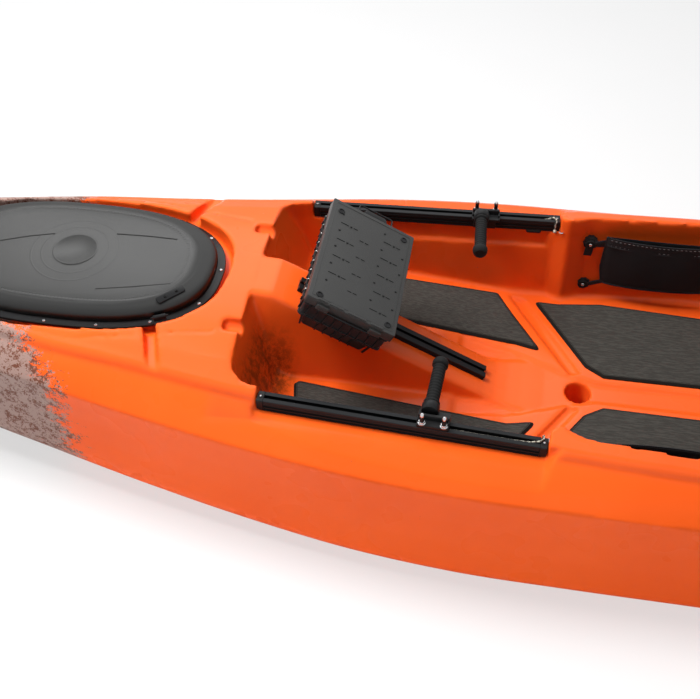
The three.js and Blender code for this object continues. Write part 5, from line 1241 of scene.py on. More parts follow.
class KAYAK_OT_foot_rails(bpy.types.Operator):
    """Makes the slotted rails beside the footwells, with their caps, pegs and release cords"""
    bl_idname = "kayak.foot_rails"
    bl_label = "Foot rails and pegs"

    def execute(self, context):
        for name, side in SIDES.items():
            at = rail_frame(side)
            self.rail(name, side, at)
            peg = at @ Matrix.Translation((PEG_PLACE[name], 0, 0))
            self.bracket(name, -side, peg)
            self.grip(name, -side, peg)
            for end, x in (("front", -21), ("rear", 21)):
                self.bolt(f"{name}_peg_{end}", f"{name}_peg", peg @ Matrix.Translation((x, side * 6, 33.9)))
            self.cord(name, -side * CORD_OFF, at)
        return {"FINISHED"}

    def rail(self, name, side, at):
        """The rail, its end caps, screws and bumper"""
        section = slotted(RAIL_WIDTH, RAIL_HEIGHT, 8, 9, RAIL_GROOVES)
        bar = end_prism(section, -RAIL_LENGTH / 2 + 0.2, RAIL_LENGTH / 2 - 0.2)
        piece(f"{name}_rail_profile", moved(bar, at), "dark_aluminium", [f"{name}_foot_rail"], sharp=20)
        for end, place in (("front", -1), ("rear", 1)):
            x = place * (RAIL_LENGTH + RAIL_CAP) / 2
            cap = soft_plate(box_outline(RAIL_CAP, RAIL_WIDTH, 2.4), 0, RAIL_HEIGHT, 1.4)
            cap = joined([shifted(cap, x, 0, 0), shifted(turned(CAP_LIP, 28), x, 0, 26.8)])
            piece(f"{name}_{end}_cap_moulding", moved(cap, at), "black_plastic",
                  [f"{name}_rail_{end}_cap"])
        screws = [screw_head(x, 0, RAIL_HEIGHT - sunk, radius, at) for x, sunk, radius in RAIL_SCREWS]
        piece(f"{name}_rail_screws", joined(screws), "bare_steel")
        bumper = shifted(soft_plate(box_outline(34, 12, 5.5), -7, 0.2, 2.5), 222, -side * 9.5, 0)
        piece(f"{name}_rail_bumper", moved(bumper, at), "black_rubber")

    def cord(self, name, off, at):
        """The release cord, the knot at its end and the eyelet"""
        route = [(x, share * off, z) for x, share, z in CORD_WAY]
        cord = sweep(bent(route, 3.5), circle(CORD_RADIUS, 10))
        end = shifted(turned(KNOT_PROFILE, 16), route[-1][0], off, CORD_KNOT)
        piece(f"{name}_cord_run", moved(joined([cord, end]), at), "pale_cord", [f"{name}_release_cord"])
        eye = shifted(turned(EYELET_PROFILE, 24, loop=True), 283, off * 1.25, 8)
        piece(f"{name}_cord_eyelet", moved(eye, at), "bare_steel")

    def bracket(self, name, inward, at):
        """The peg's sliding bracket: plate, wall, skirt, half boss and ribs"""
        plate = shifted(soft_plate(box_outline(61.6, 39.6, 5), 27.4, 34.2, 1.2), 0, inward * 7.6, 0)
        wall = shifted(soft_plate(box_outline(60, 6, 2), 0, 12, 1.2), 0, inward * 6, 33.6)
        skirt = shifted(soft_plate(box_outline(50, 6.6, 2), 0, 24, 1.0), -2, inward * 24, 9)
        boss = turned(BOSS_PROFILE, 48, (GRIP_X, 0, GRIP_Z), (0, inward, 0))
        boss = combined("DIFFERENCE", boss, brick(40, 60, 40, GRIP_X, inward * 26, GRIP_Z - 34))
        ribs = [shifted(soft_plate(box_outline(3.2, 22, 1.2), 0, 6, 0.8), x, inward * 8, 33.8)
                for x in (-29, 29)]
        piece(f"{name}_bracket_moulding", moved(joined([plate, wall, skirt, boss, *ribs]), at),
              "black_plastic", [f"{name}_peg_bracket"], f"{name}_peg")

    def grip(self, name, inward, at):
        """The ribbed grip"""
        grip = turned(grip_profile(sizes().grip_ribs), 44, (GRIP_X, 0, GRIP_Z), (0, inward, 0))
        piece(f"{name}_grip_moulding", moved(grip, at), "black_rubber", [f"{name}_peg_grip"],
              f"{name}_peg", sharp=50)

    def bolt(self, name, body, at):
        """A nut on a washer, with a sleeve and a cap nut over it"""
        hexagon = [(6.3 * math.cos(a), 6.3 * math.sin(a)) for a in np.linspace(0, 2 * math.pi, 7)[:-1]]
        nut = shifted(soft_plate(hexagon, 0, 5, 0.6, 2), 0, 0, 0.8)
        parts = [turned(WASHER_PROFILE, 28), nut, turned(CAP_NUT_PROFILE, 24)]
        piece(f"{name}_nut", moved(joined(parts), at), "bare_steel", [f"{name}_bolt"], body)
        piece(f"{name}_sleeve", moved(turned(SLEEVE_PROFILE, 24), at), "black_plastic", body=body)


# deck pads

def split_at(mesh, x):
    """Splits a mesh's faces along a plane across the boat"""
    bm = bmesh.new()
    bm.from_mesh(mesh)
    bmesh.ops.bisect_plane(bm, geom=[*bm.verts, *bm.edges, *bm.faces], plane_co=(x * MM, 0, 0),
                           plane_no=(1, 0, 0))
    bm.to_mesh(mesh)
    bm.free()
    return mesh


PADS = {
    "front": [(-153, 102), (-217, 117), (-662, 119), (-672, 130), (-650, 247), (-265, 272)],
    "rear": [(-16, 43), (-57, 70), (-180, 262), (-124, 261), (-26, 275), (200, 263), (300, 259), (300, 46)],
}


def pad_ring(corners, inset, rise):
    """A pad's outline drawn in by parallel sides, at a height over the sloping floor"""
    points = np.asarray(corners, float)
    following = np.roll(points, -1, 0)
    turn = np.sign(np.sum(points[:, 0] * following[:, 1] - following[:, 0] * points[:, 1]))
    drawn = []
    for before, here, after in zip(np.roll(points, 1, 0), points, following):
        a, b = [way / np.linalg.norm(way) for way in (here - before, after - here)]
        sides = turn * np.array([[-a[1], a[0]], [-b[1], b[0]]])
        drawn.append(here + np.linalg.solve(sides, [inset, inset]))
    steps = 5
    bends = rounded([(x, y, max(9 - inset, 2.5)) for x, y in drawn], steps)
    ring = []
    for i, (x0, y0) in enumerate(bends):
        x1, y1 = bends[(i + 1) % len(bends)]
        count = 14 if i % (steps + 1) == steps else 1
        ring += [(x0 + (x1 - x0) * t / count, y0 + (y1 - y0) * t / count) for t in range(count)]
    return [(x, y, floor_height(x) + 0.3 + rise) for x, y in ring]


class KAYAK_OT_deck_pads(bpy.types.Operator):
    """Lays the foam pads on the floor, with bevelled edges and a scored inner line"""
    bl_idname = "kayak.deck_pads"
    bl_label = "Deck pads"

    def execute(self, context):
        for name, side in SIDES.items():
            for end, corners in PADS.items():
                corners = [(x, side * y) for x, y in corners]
                rings = [pad_ring(corners, *row) for row in ((0, 0), (0, 1.2), (4.4, 5.2), (5.4, 5.8))]
                pad = piece(f"{name}_{end}_foam", split_at(skin(rings), -225), "grey_foam",
                            [f"{name}_{end}_pad"], sharp=25)
                pad.data.materials.append(finish("foam_edge"))
                for face in pad.data.polygons:
                    face.material_index = int(face.normal.z < 0.97)
                line = [pad_ring(corners, *row) for row in ((6.6, 5.2), (6.6, 6.0), (7.8, 6.0), (7.8, 5.2))]
                piece(f"{name}_{end}_foam_line", skin(line, loop=True), "foam_line")
        return {"FINISHED"}


# tackle box

# Places along the ramp are from the point about which it leans, heights are over its face
BOX = {"middle": -151, "length": 192, "width": 296, "top": 123, "rim": 101, "tier": 59, "bottom": 15,
       "taper": 24}
TRACK = {"width": 33, "height": 12, "from": -238, "to": 215.6, "screws": (-20, 85, 188)}
RIB_LEAN, RIB_MIDDLE = 12.5, 37
DOT_ROWS = ((-219, (112, 62, 13, -38, -88)), (-121, (115, 65, 15, -35, -85)), (-72, (67, 19, -32, -84)))
LONG_DASHES, SHORT_DASHES = ((0, 18), (29, 10)), ((0, 9), (12, 9))
DASH_ROWS = ((-220, (86, 36, -14, -64), LONG_DASHES, True),
             (-120, (91, 41, -9, -59, -108), LONG_DASHES, True),
             (-172, (60, 10, -40, -90), SHORT_DASHES, False))
LID_BOSSES = ((-225, 118), (-77, 125), (-224, -133), (-75, -128))
BOSS = ((0, 0), (7.6, 0), (7.6, 1.3), (6.6, 1.9), (5.2, 1.9), (4.4, 0.2), (0, 0.2))
LID_LIPS = (-208, -94)
LID_STEPS = ((-214, 20), (-184, 30), (-140, 40), (-96, 26))
LATCH = {"from": -186, "to": -108, "near": 153, "far": 176, "z": 112.4, "wire": 1.7}
LATCH_TAB = ((-176, 152, 2), (-118, 152, 2), (-124, 169, 6), (-170, 169, 6))
LACE = {"half": 124.3, "steps": 18, "odd": (-247.6, 93.2), "even": (-243.6, 85.8), "radius": 2.6}


def ramp_frame():
    """Places what is drawn on the console's ramp, upright from it"""
    return Matrix.Translation((RAMP_ORIGIN[0], 0, RAMP_ORIGIN[1])) @ spin("Y", RAMP_ANGLE)


def box_rim(inset, radius):
    """The box's outline from above, drawn in"""
    return box_outline(BOX["length"] - 2 * inset, BOX["width"] - 2 * inset, radius)


def box_hull(low, high, inset_low, inset_high, edge=0.8):
    """A four-cornered shell's solid between two heights, drawn in at its foot"""
    return skin([flat(box_rim(inset_low + edge, 8), low), flat(box_rim(inset_low, 8), low + edge),
                 flat(box_rim(inset_high, 8), high)])


def box_ribs():
    """Upright ribs round the upper tier, leaning ones under them"""
    half_x, half_y = BOX["length"] / 2, BOX["width"] / 2
    ribs = []
    for k in range(9):
        x = -half_x + 20 + k * (BOX["length"] - 40) / 8
        for s in (-1, 1):
            ribs.append(brick(3, 5, 38, x, s * (half_y - 5), BOX["tier"] + 20))
            if 1 < k < 7:
                at = Matrix.Translation((x, s * (half_y - 21), RIB_MIDDLE)) @ spin("X", -s * RIB_LEAN)
                ribs.append(moved(brick(3, 4, 40), at))
    for k in range(13):
        y = -half_y + 22 + k * (BOX["width"] - 44) / 12
        for s in (-1, 1):
            ribs.append(brick(5, 3, 36, s * (half_x - 5), y, BOX["tier"] + 19))
            if s > 0 or abs(y) > 60:
                at = Matrix.Translation((s * (half_x - 21), y, RIB_MIDDLE)) @ spin("Y", s * RIB_LEAN)
                ribs.append(moved(brick(4, 3, 38), at))
    return ribs


def lid_dot(x, y, rise):
    """A small round stud on the box's lid"""
    profile = [(2.7, 0), (2.7, rise - 0.5), (1.9, rise), (0, rise)]
    return turned(profile, 16, (x, y, BOX["top"] - 1.0))


def lid_marks():
    """The rows of studs and dashes on the box's lid"""
    marks, middle = [], BOX["middle"]
    for x, rows in DOT_ROWS:
        marks += [lid_dot(x - middle, y, 1.2) for y in rows]
    for x, rows, dashes, dotted in DASH_ROWS:
        for y in rows:
            for start, span in dashes:
                dash = soft_plate(box_outline(span, 1.7, 0.8, 3), 0, 0.9, 0.3, 2)
                marks.append(shifted(dash, x - middle + start + span / 2, y, BOX["top"] - 1.0))
            if dotted:
                marks.append(lid_dot(x - middle + 24, y, 1.4))
    return marks


class KAYAK_OT_tackle_box(bpy.types.Operator):
    """Makes the slanted box on the console: track, body, lid, latch and lacing"""
    bl_idname = "kayak.tackle_box"
    bl_label = "Tackle box"

    def execute(self, context):
        at = ramp_frame()
        self.track(at)
        lift = at @ Matrix.Translation((BOX["middle"], 0, 0))
        self.tub(lift)
        self.lid(lift)
        self.latch(at)
        self.lacing(at)
        return {"FINISHED"}

    def track(self, at):
        """The slotted track along the console and its screws"""
        section = slotted(TRACK["width"], TRACK["height"], 8, 8.6, [(4, 7, 1.2)])
        track = shifted(end_prism(section, TRACK["from"], TRACK["to"]), 0, 0, -TRACK["height"])
        piece("console_track_profile", moved(track, at), "dark_aluminium", ["console_track"], sharp=20)
        screws = [screw_head(x, 0, -8.5, 3.3, at) for x in TRACK["screws"]]
        piece("console_track_screws", joined(screws), "bare_steel")

    def tub(self, lift):
        """The box's body in two tiers, with ribs and two bands round it"""
        upper = box_hull(BOX["tier"], BOX["rim"] - 0.3, 7, 5)
        lower = box_hull(BOX["bottom"] + 0.3, BOX["tier"] + 1, BOX["taper"] + 3, BOX["taper"] - 7)
        inside = box_hull(BOX["bottom"] + 3.4, BOX["rim"] + 5, BOX["taper"] + 5, BOX["taper"] - 8)
        inside_top = box_hull(BOX["tier"] + 3, BOX["rim"] + 6, 10, 8)
        body = combined("UNION", upper, lower)
        bands = [soft_plate(box_rim(inset, 9), z - 2.4, z + 2.4, 0.8, 2)
                 for z, inset in ((BOX["rim"] - 5, 2.5), (BOX["tier"] + 2, 4.5))]
        tub = combined("DIFFERENCE", combined("UNION", body, *bands), inside, inside_top)
        piece("tackle_box_tub", moved(joined([bevelled(tub, 0.0008), *box_ribs()]), lift), "box_plastic",
              ["tackle_box"], "tackle_box", sharp=30)

    def lid(self, lift):
        """The lid with its frame line, lips, steps, marks and bosses"""
        middle, top, half_y = BOX["middle"], BOX["top"] - 1.0, BOX["width"] / 2
        lid = combined("DIFFERENCE", soft_plate(box_rim(0, 4), BOX["rim"] + 0.3, BOX["top"] - 0.9, 1.3),
                       prism(box_rim(4, 5), BOX["rim"] - 5, BOX["top"] - 4))
        line = combined("DIFFERENCE", soft_plate(box_rim(7.5, 5), BOX["top"] - 2, BOX["top"] - 0.3, 0.4, 2),
                        prism(box_rim(9.2, 4), BOX["top"] - 3, BOX["top"] + 3))
        lips = [shifted(soft_plate(box_outline(26, 8, 2), -14, 0, 1.2, 2), x - middle, -half_y - 1.0,
                        BOX["rim"] + 14) for x in LID_LIPS]
        steps = [shifted(soft_plate(box_outline(width, 5, 1.5), 0, 2.2, 0.6, 2), x - middle, -half_y + 3.5,
                         top) for x, width in LID_STEPS]
        bosses = [turned(BOSS, 32, (x - middle, y, top)) for x, y in LID_BOSSES]
        piece("tackle_box_lid_shell", moved(joined([lid, line, *lips, *steps]), lift), "black_lid",
              ["tackle_box_lid"], "tackle_box_lid", sharp=30)
        piece("tackle_box_lid_marks", moved(joined(lid_marks()), lift), "mark_black",
              body="tackle_box_lid")
        piece("tackle_box_lid_bosses", moved(joined(bosses), lift), "box_plastic", body="tackle_box_lid")

    def latch(self, at):
        """The side latch: a wire loop between two ears, under a tab"""
        front, rear, near, far, z = (LATCH[key] for key in ("from", "to", "near", "far", "z"))
        loop = bent([(front, near, z), (front, far, z), (rear, far, z), (rear, near, z)], 6)
        tab = soft_plate(rounded(LATCH_TAB, 4), 112, 115, 0.9)
        ears = [shifted(soft_plate(box_outline(10, 14, 3), 0, 12, 1.2), x, 149.5, 104)
                for x in (front, rear)]
        piece("box_latch_wire", moved(sweep(loop, circle(LATCH["wire"], 10)), at), "dark_aluminium",
              body="box_latch")
        piece("box_latch_tab", moved(joined([tab, *ears]), at), "box_plastic", body="box_latch")

    def lacing(self, at):
        """Two interlaced zigzag runs of cord along the box's front edge"""
        path = []
        for i in range(LACE["steps"] + 1):
            x, z = LACE["odd" if i % 2 else "even"]
            path.append((x, LACE["half"] * (i / (LACE["steps"] / 2) - 1), z))
        swapped = LACE["odd"][1] + LACE["even"][1]
        for back in (0, 1):
            route = [(x + back * 1.5, y, swapped - z if back else z) for x, y, z in path]
            mesh = sweep(bent(route, 1.6, 4), circle(LACE["radius"], 10))
            piece(f"box_lacing_{back}", moved(mesh, at), ("lash_cord", "lash_dark")[back],
                  ["box_lash_cord"], "tackle_box")


# pouches and knobs

POUCH = {"front": -44, "rear": 216, "low": 202, "high": 338, "back": 300.8, "wall": 300, "belly": 275.5}
POUCH_ROWS, POUCH_COLUMNS = 12, 27
KNOB_X = -72.1
KNOB_Z = (("upper", 312), ("lower", 190))
# Distances from the boat's middle plane, and shares of the knob's radius
KNOB_RINGS = ((313.6, 0.96), (312.6, 1), (303, 1), (300.4, 0.965), (299.2, 0.86))
BUTTON = ((0, 0), (11.6, 0), (11.6, 3), (10.6, 4.2), (5.6, 4.4), (5.2, 2.6), (0, 2.6))
BUTTON_Y, KNOB_SCREW_Y = 299, 296.5
# Each strap from knob to pouch: heights over the knob's middle at its ends, and where it ends
STRAPS = {"upper": ((8, -6), (16, -4), -38), "lower": ((6, -6), (22, 10), -26)}


def pouch_grid(side):
    """The pouch's outer cloth, from its foot up: it bellies out, with pleats and a sagging mouth"""
    front, rear, low, high = (POUCH[key] for key in ("front", "rear", "low", "high"))
    rows = []
    for v in np.linspace(0, 1, POUCH_ROWS):
        z = low + (high - low) * v
        draw = 10 * (1 - v) ** 3 + 9 * v * v
        ends = 9 * max(0, 1 - v * 3) + 4 * v * v
        row = []
        for u in np.linspace(0, 1, POUCH_COLUMNS):
            x = front + 3 + ends + (rear - front - 6 - 2 * ends) * u
            belly = math.sin(math.pi * u) ** 0.5
            pleat = 1.6 * math.sin(u * math.pi * 5) * v * (1 - v) * 3
            sag = -1.5 * v ** 6 * math.sin(math.pi * u) ** 1.5
            y = POUCH["wall"] - (POUCH["wall"] - POUCH["belly"] - draw) * belly + pleat
            row.append((x, side * y, z + sag))
        rows.append(row)
    return np.array(rows)


def strap(x, heights, end_x, end_heights, side, z):
    """A flat strap along the cockpit's wall"""
    ends = ((x, 300, 297.8, heights), (end_x, 301, 298.6, end_heights))
    return skin([[(at, side * outer, z + top), (at, side * outer, z + foot), (at, side * inner, z + foot),
                  (at, side * inner, z + top)] for at, outer, inner, (top, foot) in ends])


class KAYAK_OT_pouches(bpy.types.Operator):
    """Makes the two side pouches with their hems, pleats, knobs and straps"""
    bl_idname = "kayak.pouches"
    bl_label = "Side pouches"

    def execute(self, context):
        for name, side in SIDES.items():
            grid = pouch_grid(side)
            self.bag(name, side, grid)
            self.trim(name, side, grid)
            for place, z in KNOB_Z:
                self.knob(name, side, place, z)
        return {"FINISHED"}

    def bag(self, name, side, grid):
        """The bag: outer cloth, flat back, foot and ends, open at the top"""
        back = grid.copy()
        back[:, :, 1] = side * POUCH["back"]
        points = np.concatenate([grid.reshape(-1, 3), back.reshape(-1, 3)])
        rows, count = grid.shape[:2]
        faces, n = [], rows * count
        for sheet in (0, n):
            for r in range(rows - 1):
                for c in range(count - 1):
                    a = sheet + r * count + c
                    faces.append((a, a + 1, a + count + 1, a + count))
        for c in range(count - 1):
            faces.append((c, c + 1, n + c + 1, n + c))
        for r in range(rows - 1):
            for c in (0, count - 1):
                a = r * count + c
                faces.append((a, a + count, n + a + count, n + a))
        mesh = worked(mesh_of(points, faces), ("SOLIDIFY", {"thickness": 0.0022, "offset": 0.0}),
                      ("SUBSURF", {"levels": 1}))
        piece(f"{name}_pouch_bag", mesh, "black_fabric", [f"{name}_pouch"], sharp=None)

    def trim(self, name, side, grid):
        """The band and roll at the mouth, the bound edges and the stitches"""
        top = grid[-1]
        strip = [[(x, y - side * 0.6, z + 2), (x, y - side * 2.3, z + 1.6), (x, y - side * 2.6, z - 20),
                  (x, y - side * 0.9, z - 21)] for x, y, z in top]
        piece(f"{name}_pouch_band", skin(strip), "webbing")
        roll = sweep([(x, y - side * 2.2, z - 22) for x, y, z in top], circle(1.6, 8))
        flattened = [(a * 2.6, b * 1.5) for a, b in circle(1, 8)]
        edges = [sweep([(x, y - side * 1.0, z) for x, y, z in grid[:, c]], flattened) for c in (0, -1)]
        base = sweep([(x, y - side * 0.8, z + 1.5) for x, y, z in grid[0]], circle(2.0, 8))
        piece(f"{name}_pouch_binding", joined([roll, *edges, base]), "webbing")
        stitches = [shifted(brick(4.2, 0.9, 0.9), x + shift, y - side * 2.5, z + drop)
                    for x, y, z in top[1:-1] for shift, drop in ((0, -3.5), (2, -18))]
        piece(f"{name}_pouch_stitches", joined(stitches), "thread")

    def knob(self, name, side, place, z):
        """A lobed knob with its button and screw, and the strap that it holds"""
        x = KNOB_X
        angles = np.linspace(0, 2 * math.pi, 121)[:-1]
        lobes = [(15.9 + 0.8 * math.cos(a * 10), a) for a in angles]
        rings = [[(x + radius * scale * math.cos(a), side * reach, z + radius * scale * math.sin(a))
                  for radius, a in lobes] for reach, scale in KNOB_RINGS]
        button = turned(BUTTON, 40, (x, side * BUTTON_Y, z), (0, -side, 0))
        piece(f"{name}_{place}_knob_moulding", joined([skin(rings), button]), "black_rubber",
              [f"{name}_{place}_knob"])
        at = Matrix.Translation((x, side * KNOB_SCREW_Y, z)) @ spin("X", side * 90)
        piece(f"{name}_{place}_knob_screw", moved(screw_head(0, 0, 0, 4.4), at), "bare_steel")
        heights, end_heights, end_x = STRAPS[place]
        run = strap(x + 8, heights, end_x, end_heights, side, z)
        if place == "upper":
            tail = rounded([(x - 9, -4, 1), (x + 9, -4, 1), (x + 6, -34, 2), (x - 12, -34, 2)], 3)
            tab = skin([[(px, side * (301 - lift), z + pz) for px, pz in tail] for lift in (0, 2.2)])
            piece(f"{name}_knob_tab", bevelled(joined([tab, run]), 0.0005), "webbing")
        else:
            piece(f"{name}_knob_tie", bevelled(run, 0.0005), "webbing")


# rod holders

CUP_PROFILE = ((24, -169.6), (24, -0.2), (37.4, -0.2), (37.9, 1.2), (37.4, 4), (35.4, 5.6), (24.4, 5.9),
               (22.4, 5.2), (21.2, 3.6), (21, 0), (21, -166), (21, -169.6))
CAP_PROFILE = ((0, 6.5), (29.6, 6.5), (30.8, 7.6), (30.8, 9.6), (29, 11.6), (26, 12.2), (24, 11.4),
               (6, 11.8), (0, 12))
EAR_PROFILE = ((0, -8.7), (3.9, -8.7), (3.9, 8.7), (0, 8.7))
HOLDER_SCREWS = (math.pi * 0.75, math.pi * 1.25, math.pi * 0.32, -math.pi * 0.32)
HOLDER_SCREW_CIRCLE = 31


class KAYAK_OT_rod_holders(bpy.types.Operator):
    """Makes the flush rod holders and their hinged caps"""
    bl_idname = "kayak.rod_holders"
    bl_label = "Rod holders"

    def execute(self, context):
        for name, side in SIDES.items():
            at = rod_holder_frame(side)
            piece(f"{name}_holder_moulding", moved(turned(CUP_PROFILE, 72, loop=True), at),
                  "black_plastic", [f"{name}_rod_holder"])
            screws = [screw_head(HOLDER_SCREW_CIRCLE * math.cos(a), HOLDER_SCREW_CIRCLE * math.sin(a),
                                 5.0, 3.4, at) for a in HOLDER_SCREWS]
            piece(f"{name}_holder_screws", joined(screws), "bare_steel")
            ear = shifted(turned(EAR_PROFILE, 20, axis=(0, 1, 0)), 34, 0, 10.6)
            arm = shifted(soft_plate(box_outline(12, 15, 2), 7.6, 12.2, 1.2), 28, 0, 0)
            tab = shifted(soft_plate(box_outline(10, 14, 4), 7, 10, 1.0), -30, 0, 0)
            cap = joined([turned(CAP_PROFILE, 64), ear, arm, tab])
            piece(f"{name}_holder_cap", moved(cap, at), "black_rubber", [f"{name}_rod_holder_cap"],
                  f"{name}_rod_holder_cap")
        return {"FINISHED"}


# handles

END_HANDLES = {"places": (("bow", -1668), ("stern", 1815)), "half": 66, "rise": 34, "bend": 23.8,
               "radius": 8.6}
COLLAR = ((8.7, -2.2), (9.6, -1.4), (9.6, 1.4), (8.7, 2.2))
HANDLE_FOOT = ((0, 0), (16.6, 0), (16.6, 3), (14, 5.6), (9, 6.4), (0, 6.4))
PLUG_RINGS = ((0.99, 0.4), (1.0, 1.6), (1.0, 7), (0.93, 9.4), (0.8, 10))
SIDE_HANDLE = {"x": 320, "span": 150, "drop": 39, "height": 11.6, "fall": 50, "share": 0.16, "bend": 16}
BAIL_END = ((0, -5), (6.8, -5), (6.8, 5), (0, 5))


class KAYAK_OT_handles(bpy.types.Operator):
    """Makes the bow and stern handles, the swinging side handles and the drain plug"""
    bl_idname = "kayak.handles"
    bl_label = "Handles and plug"

    def execute(self, context):
        for name, x in END_HANDLES["places"]:
            self.end_handle(name, x)
        for name, side in SIDES.items():
            self.side_handle(name, side)
        self.plug()
        return {"FINISHED"}

    def end_handle(self, name, x):
        """A rigid handle across two feet on the deck"""
        half = END_HANDLES["half"]
        low, bar, high = deck_z(x - half), deck_z(x) + END_HANDLES["rise"], deck_z(x + half)
        path = bent([(x - half, 0, low + 1), (x - half, 0, bar), (x + half, 0, bar),
                     (x + half, 0, high + 1)], END_HANDLES["bend"], 10)
        grip = sweep(path, circle(END_HANDLES["radius"], 24), up=(0, 1, 0))
        feet = [turned(HANDLE_FOOT, 36, (at, 0, z + 0.4)) for at, z in ((x - half, low), (x + half, high))]
        piece(f"{name}_handle_grip", joined([grip, *feet]), "black_plastic", [f"{name}_handle"])
        collar = turned(COLLAR, 24, axis=(1, 0, 0), loop=True)
        sleeve = [shifted(collar.copy(), x - 36 + k * 6, 0, bar) for k in range(13)]
        piece(f"{name}_handle_sleeve", joined(sleeve), "black_rubber")

    def plug(self):
        """The drain plug's lobed head and its grip bar"""
        x, z = PLUG["x"], deck_z(PLUG["x"]) - PLUG["drop"]
        lobes = [(16.6 + 1.0 * math.cos(a * 8), a) for a in np.linspace(0, 2 * math.pi, 97)[:-1]]
        rings = [[(x + radius * scale * math.cos(a), radius * scale * math.sin(a), z + rise)
                  for radius, a in lobes] for scale, rise in PLUG_RINGS]
        bar = shifted(soft_plate(box_outline(26, 7, 3), 9, 15.4, 2.0), x, 0, z)
        piece("drain_plug_moulding", joined([skin(rings), bar]), "black_plastic", ["drain_plug"],
              "drain_plug")

    def side_handle(self, name, side):
        """A bail that hangs from two pivots on the hull's side, with a ribbed sleeve"""
        x, height, fall, share = (SIDE_HANDLE[key] for key in ("x", "height", "fall", "share"))
        beam, gunwale, _, sheer = station(x)
        run = beam - gunwale
        slope = math.atan2(fall, run)
        axis_y = side * (gunwale + run * share + height * math.sin(slope))
        axis_z = sheer - SHOULDER - fall * share + height * math.cos(slope)
        hang = math.pi / 2 - slope
        down = np.array([0, side * math.sin(hang), -math.cos(hang)])
        near, far = [np.array([x + s * (SIDE_HANDLE["span"] / 2), axis_y, axis_z]) for s in (-1, 1)]
        drop = down * SIDE_HANDLE["drop"]
        path = bent([near, near + drop, far + drop, far], SIDE_HANDLE["bend"], 8)
        bail = sweep(path, circle(5.2, 20), up=(0, side * 0.8, 0.6))
        ends = [turned(BAIL_END, 28, pivot, (1, 0, 0)) for pivot in (near, far)]
        piece(f"{name}_side_bail", joined([bail, *ends]), "black_plastic", [f"{name}_side_handle"],
              f"{name}_side_handle")
        rings = [(5.3, -44), (6.6, -43), (6.9, -41)]
        for s in range(-38, 42, 8):
            rings += [(6.2, s), (6.95, s + 1.6), (6.95, s + 5.2), (6.2, s + 6.8)]
        rings += [(6.9, 42), (6.6, 43.4), (5.3, 44.4), (5.0, 0)]
        sleeve = turned(rings, 32, (near + far) / 2 + drop, (1, 0, 0), loop=True)
        piece(f"{name}_side_sleeve", sleeve, "black_rubber", body=f"{name}_side_handle")


# tankwell lacing

HOOK_X = (989.25, 1194.75, 1400.25, 1592.05)
HOOK_Y, HOOK_NARROWING = 294, 136 / 685
STRETCH_RADIUS = 3.4


class KAYAK_OT_lashing(bpy.types.Operator):
    """Laces the stretch cord over the tankwell between its hooks"""
    bl_idname = "kayak.lashing"
    bl_label = "Tankwell lacing"

    def execute(self, context):
        places = [(x, HOOK_Y - HOOK_NARROWING * (x - TANKWELL[0])) for x in HOOK_X]
        top = max(deck_z(x, y) for x, y in places) + 4.8
        hooks = []
        for x, y in places:
            base = deck_z(x, y) - 2
            profile = [(0, base), (12, base), (12, base + 3), (8, base + 5), (7.4, top - 8), (5.4, top - 5),
                       (5.4, top - 1), (7.9, top + 1.5), (7.9, top + 4.5), (6, top + 6.2), (0, top + 6.3)]
            hooks += [turned(profile, 32, (x, s * y, 0)) for s in (-1, 1)]
        piece("lacing_hooks", joined(hooks), "black_plastic")
        runs = []
        for lift, first in ((-3.2, -1), (4.5, 1)):
            route = [(x, first * (y - 3) * (1 if i % 2 else -1), top + lift)
                     for i, (x, y) in enumerate(places)]
            runs.append(sweep(bent(route, 9, 10), circle(STRETCH_RADIUS, 12)))
        x, y = places[0][0] - 6, places[0][1] - 3
        runs.append(sweep([(x, -y, top - 3.2), (x, 0, top - 3.6), (x, y, top - 3.2)],
                          circle(STRETCH_RADIUS, 12)))
        piece("lacing_cord", joined(runs), "stretch_cord", ["tankwell_lashing"])
        return {"FINISHED"}


# seat

TUBE, CROSS_TUBE = 12.4, 9
SEAT = {"front": 372, "start": 560, "rear": 748, "half": 232, "z": 282, "bend": 50, "cross": 702}
LEGS = [(x, y) for x in (468, 702) for y in (-232, 232)]
LEG_FOOT = ((0, 150.6), (18, 150.6), (19, 152), (18.4, 158), (14.4, 163), (13.6, 176), (0, 176))
LEG_COLLAR = ((0, 262), (14.2, 262), (14.6, 264), (14.6, 272), (0, 272))
EAR_PLATE = ((712, 268, 6), (760, 268, 6), (752, 338, 10), (720, 338, 10))
EAR_REACH = (246.6, 251)
BACK = {"x": 736, "z": 326, "lean": 14, "height": 430, "cross": 181, "bend": 60}
PIN = ((0, 0), (7, 0), (7, 1.4), (5.4, 3), (0, 3.2))
KNUCKLE = ((0, -8), (14.6, -8), (15.2, -6), (15.2, 6), (14.6, 8), (0, 8))
CLOTH_HALF = 240
CLOTH_CELLS = (36, 28)


def sag(u, v):
    """How far a slung cloth hangs, as a share of its deepest"""
    return math.sin(math.pi * u) ** 1.2 * math.sin(math.pi * v) ** 0.7


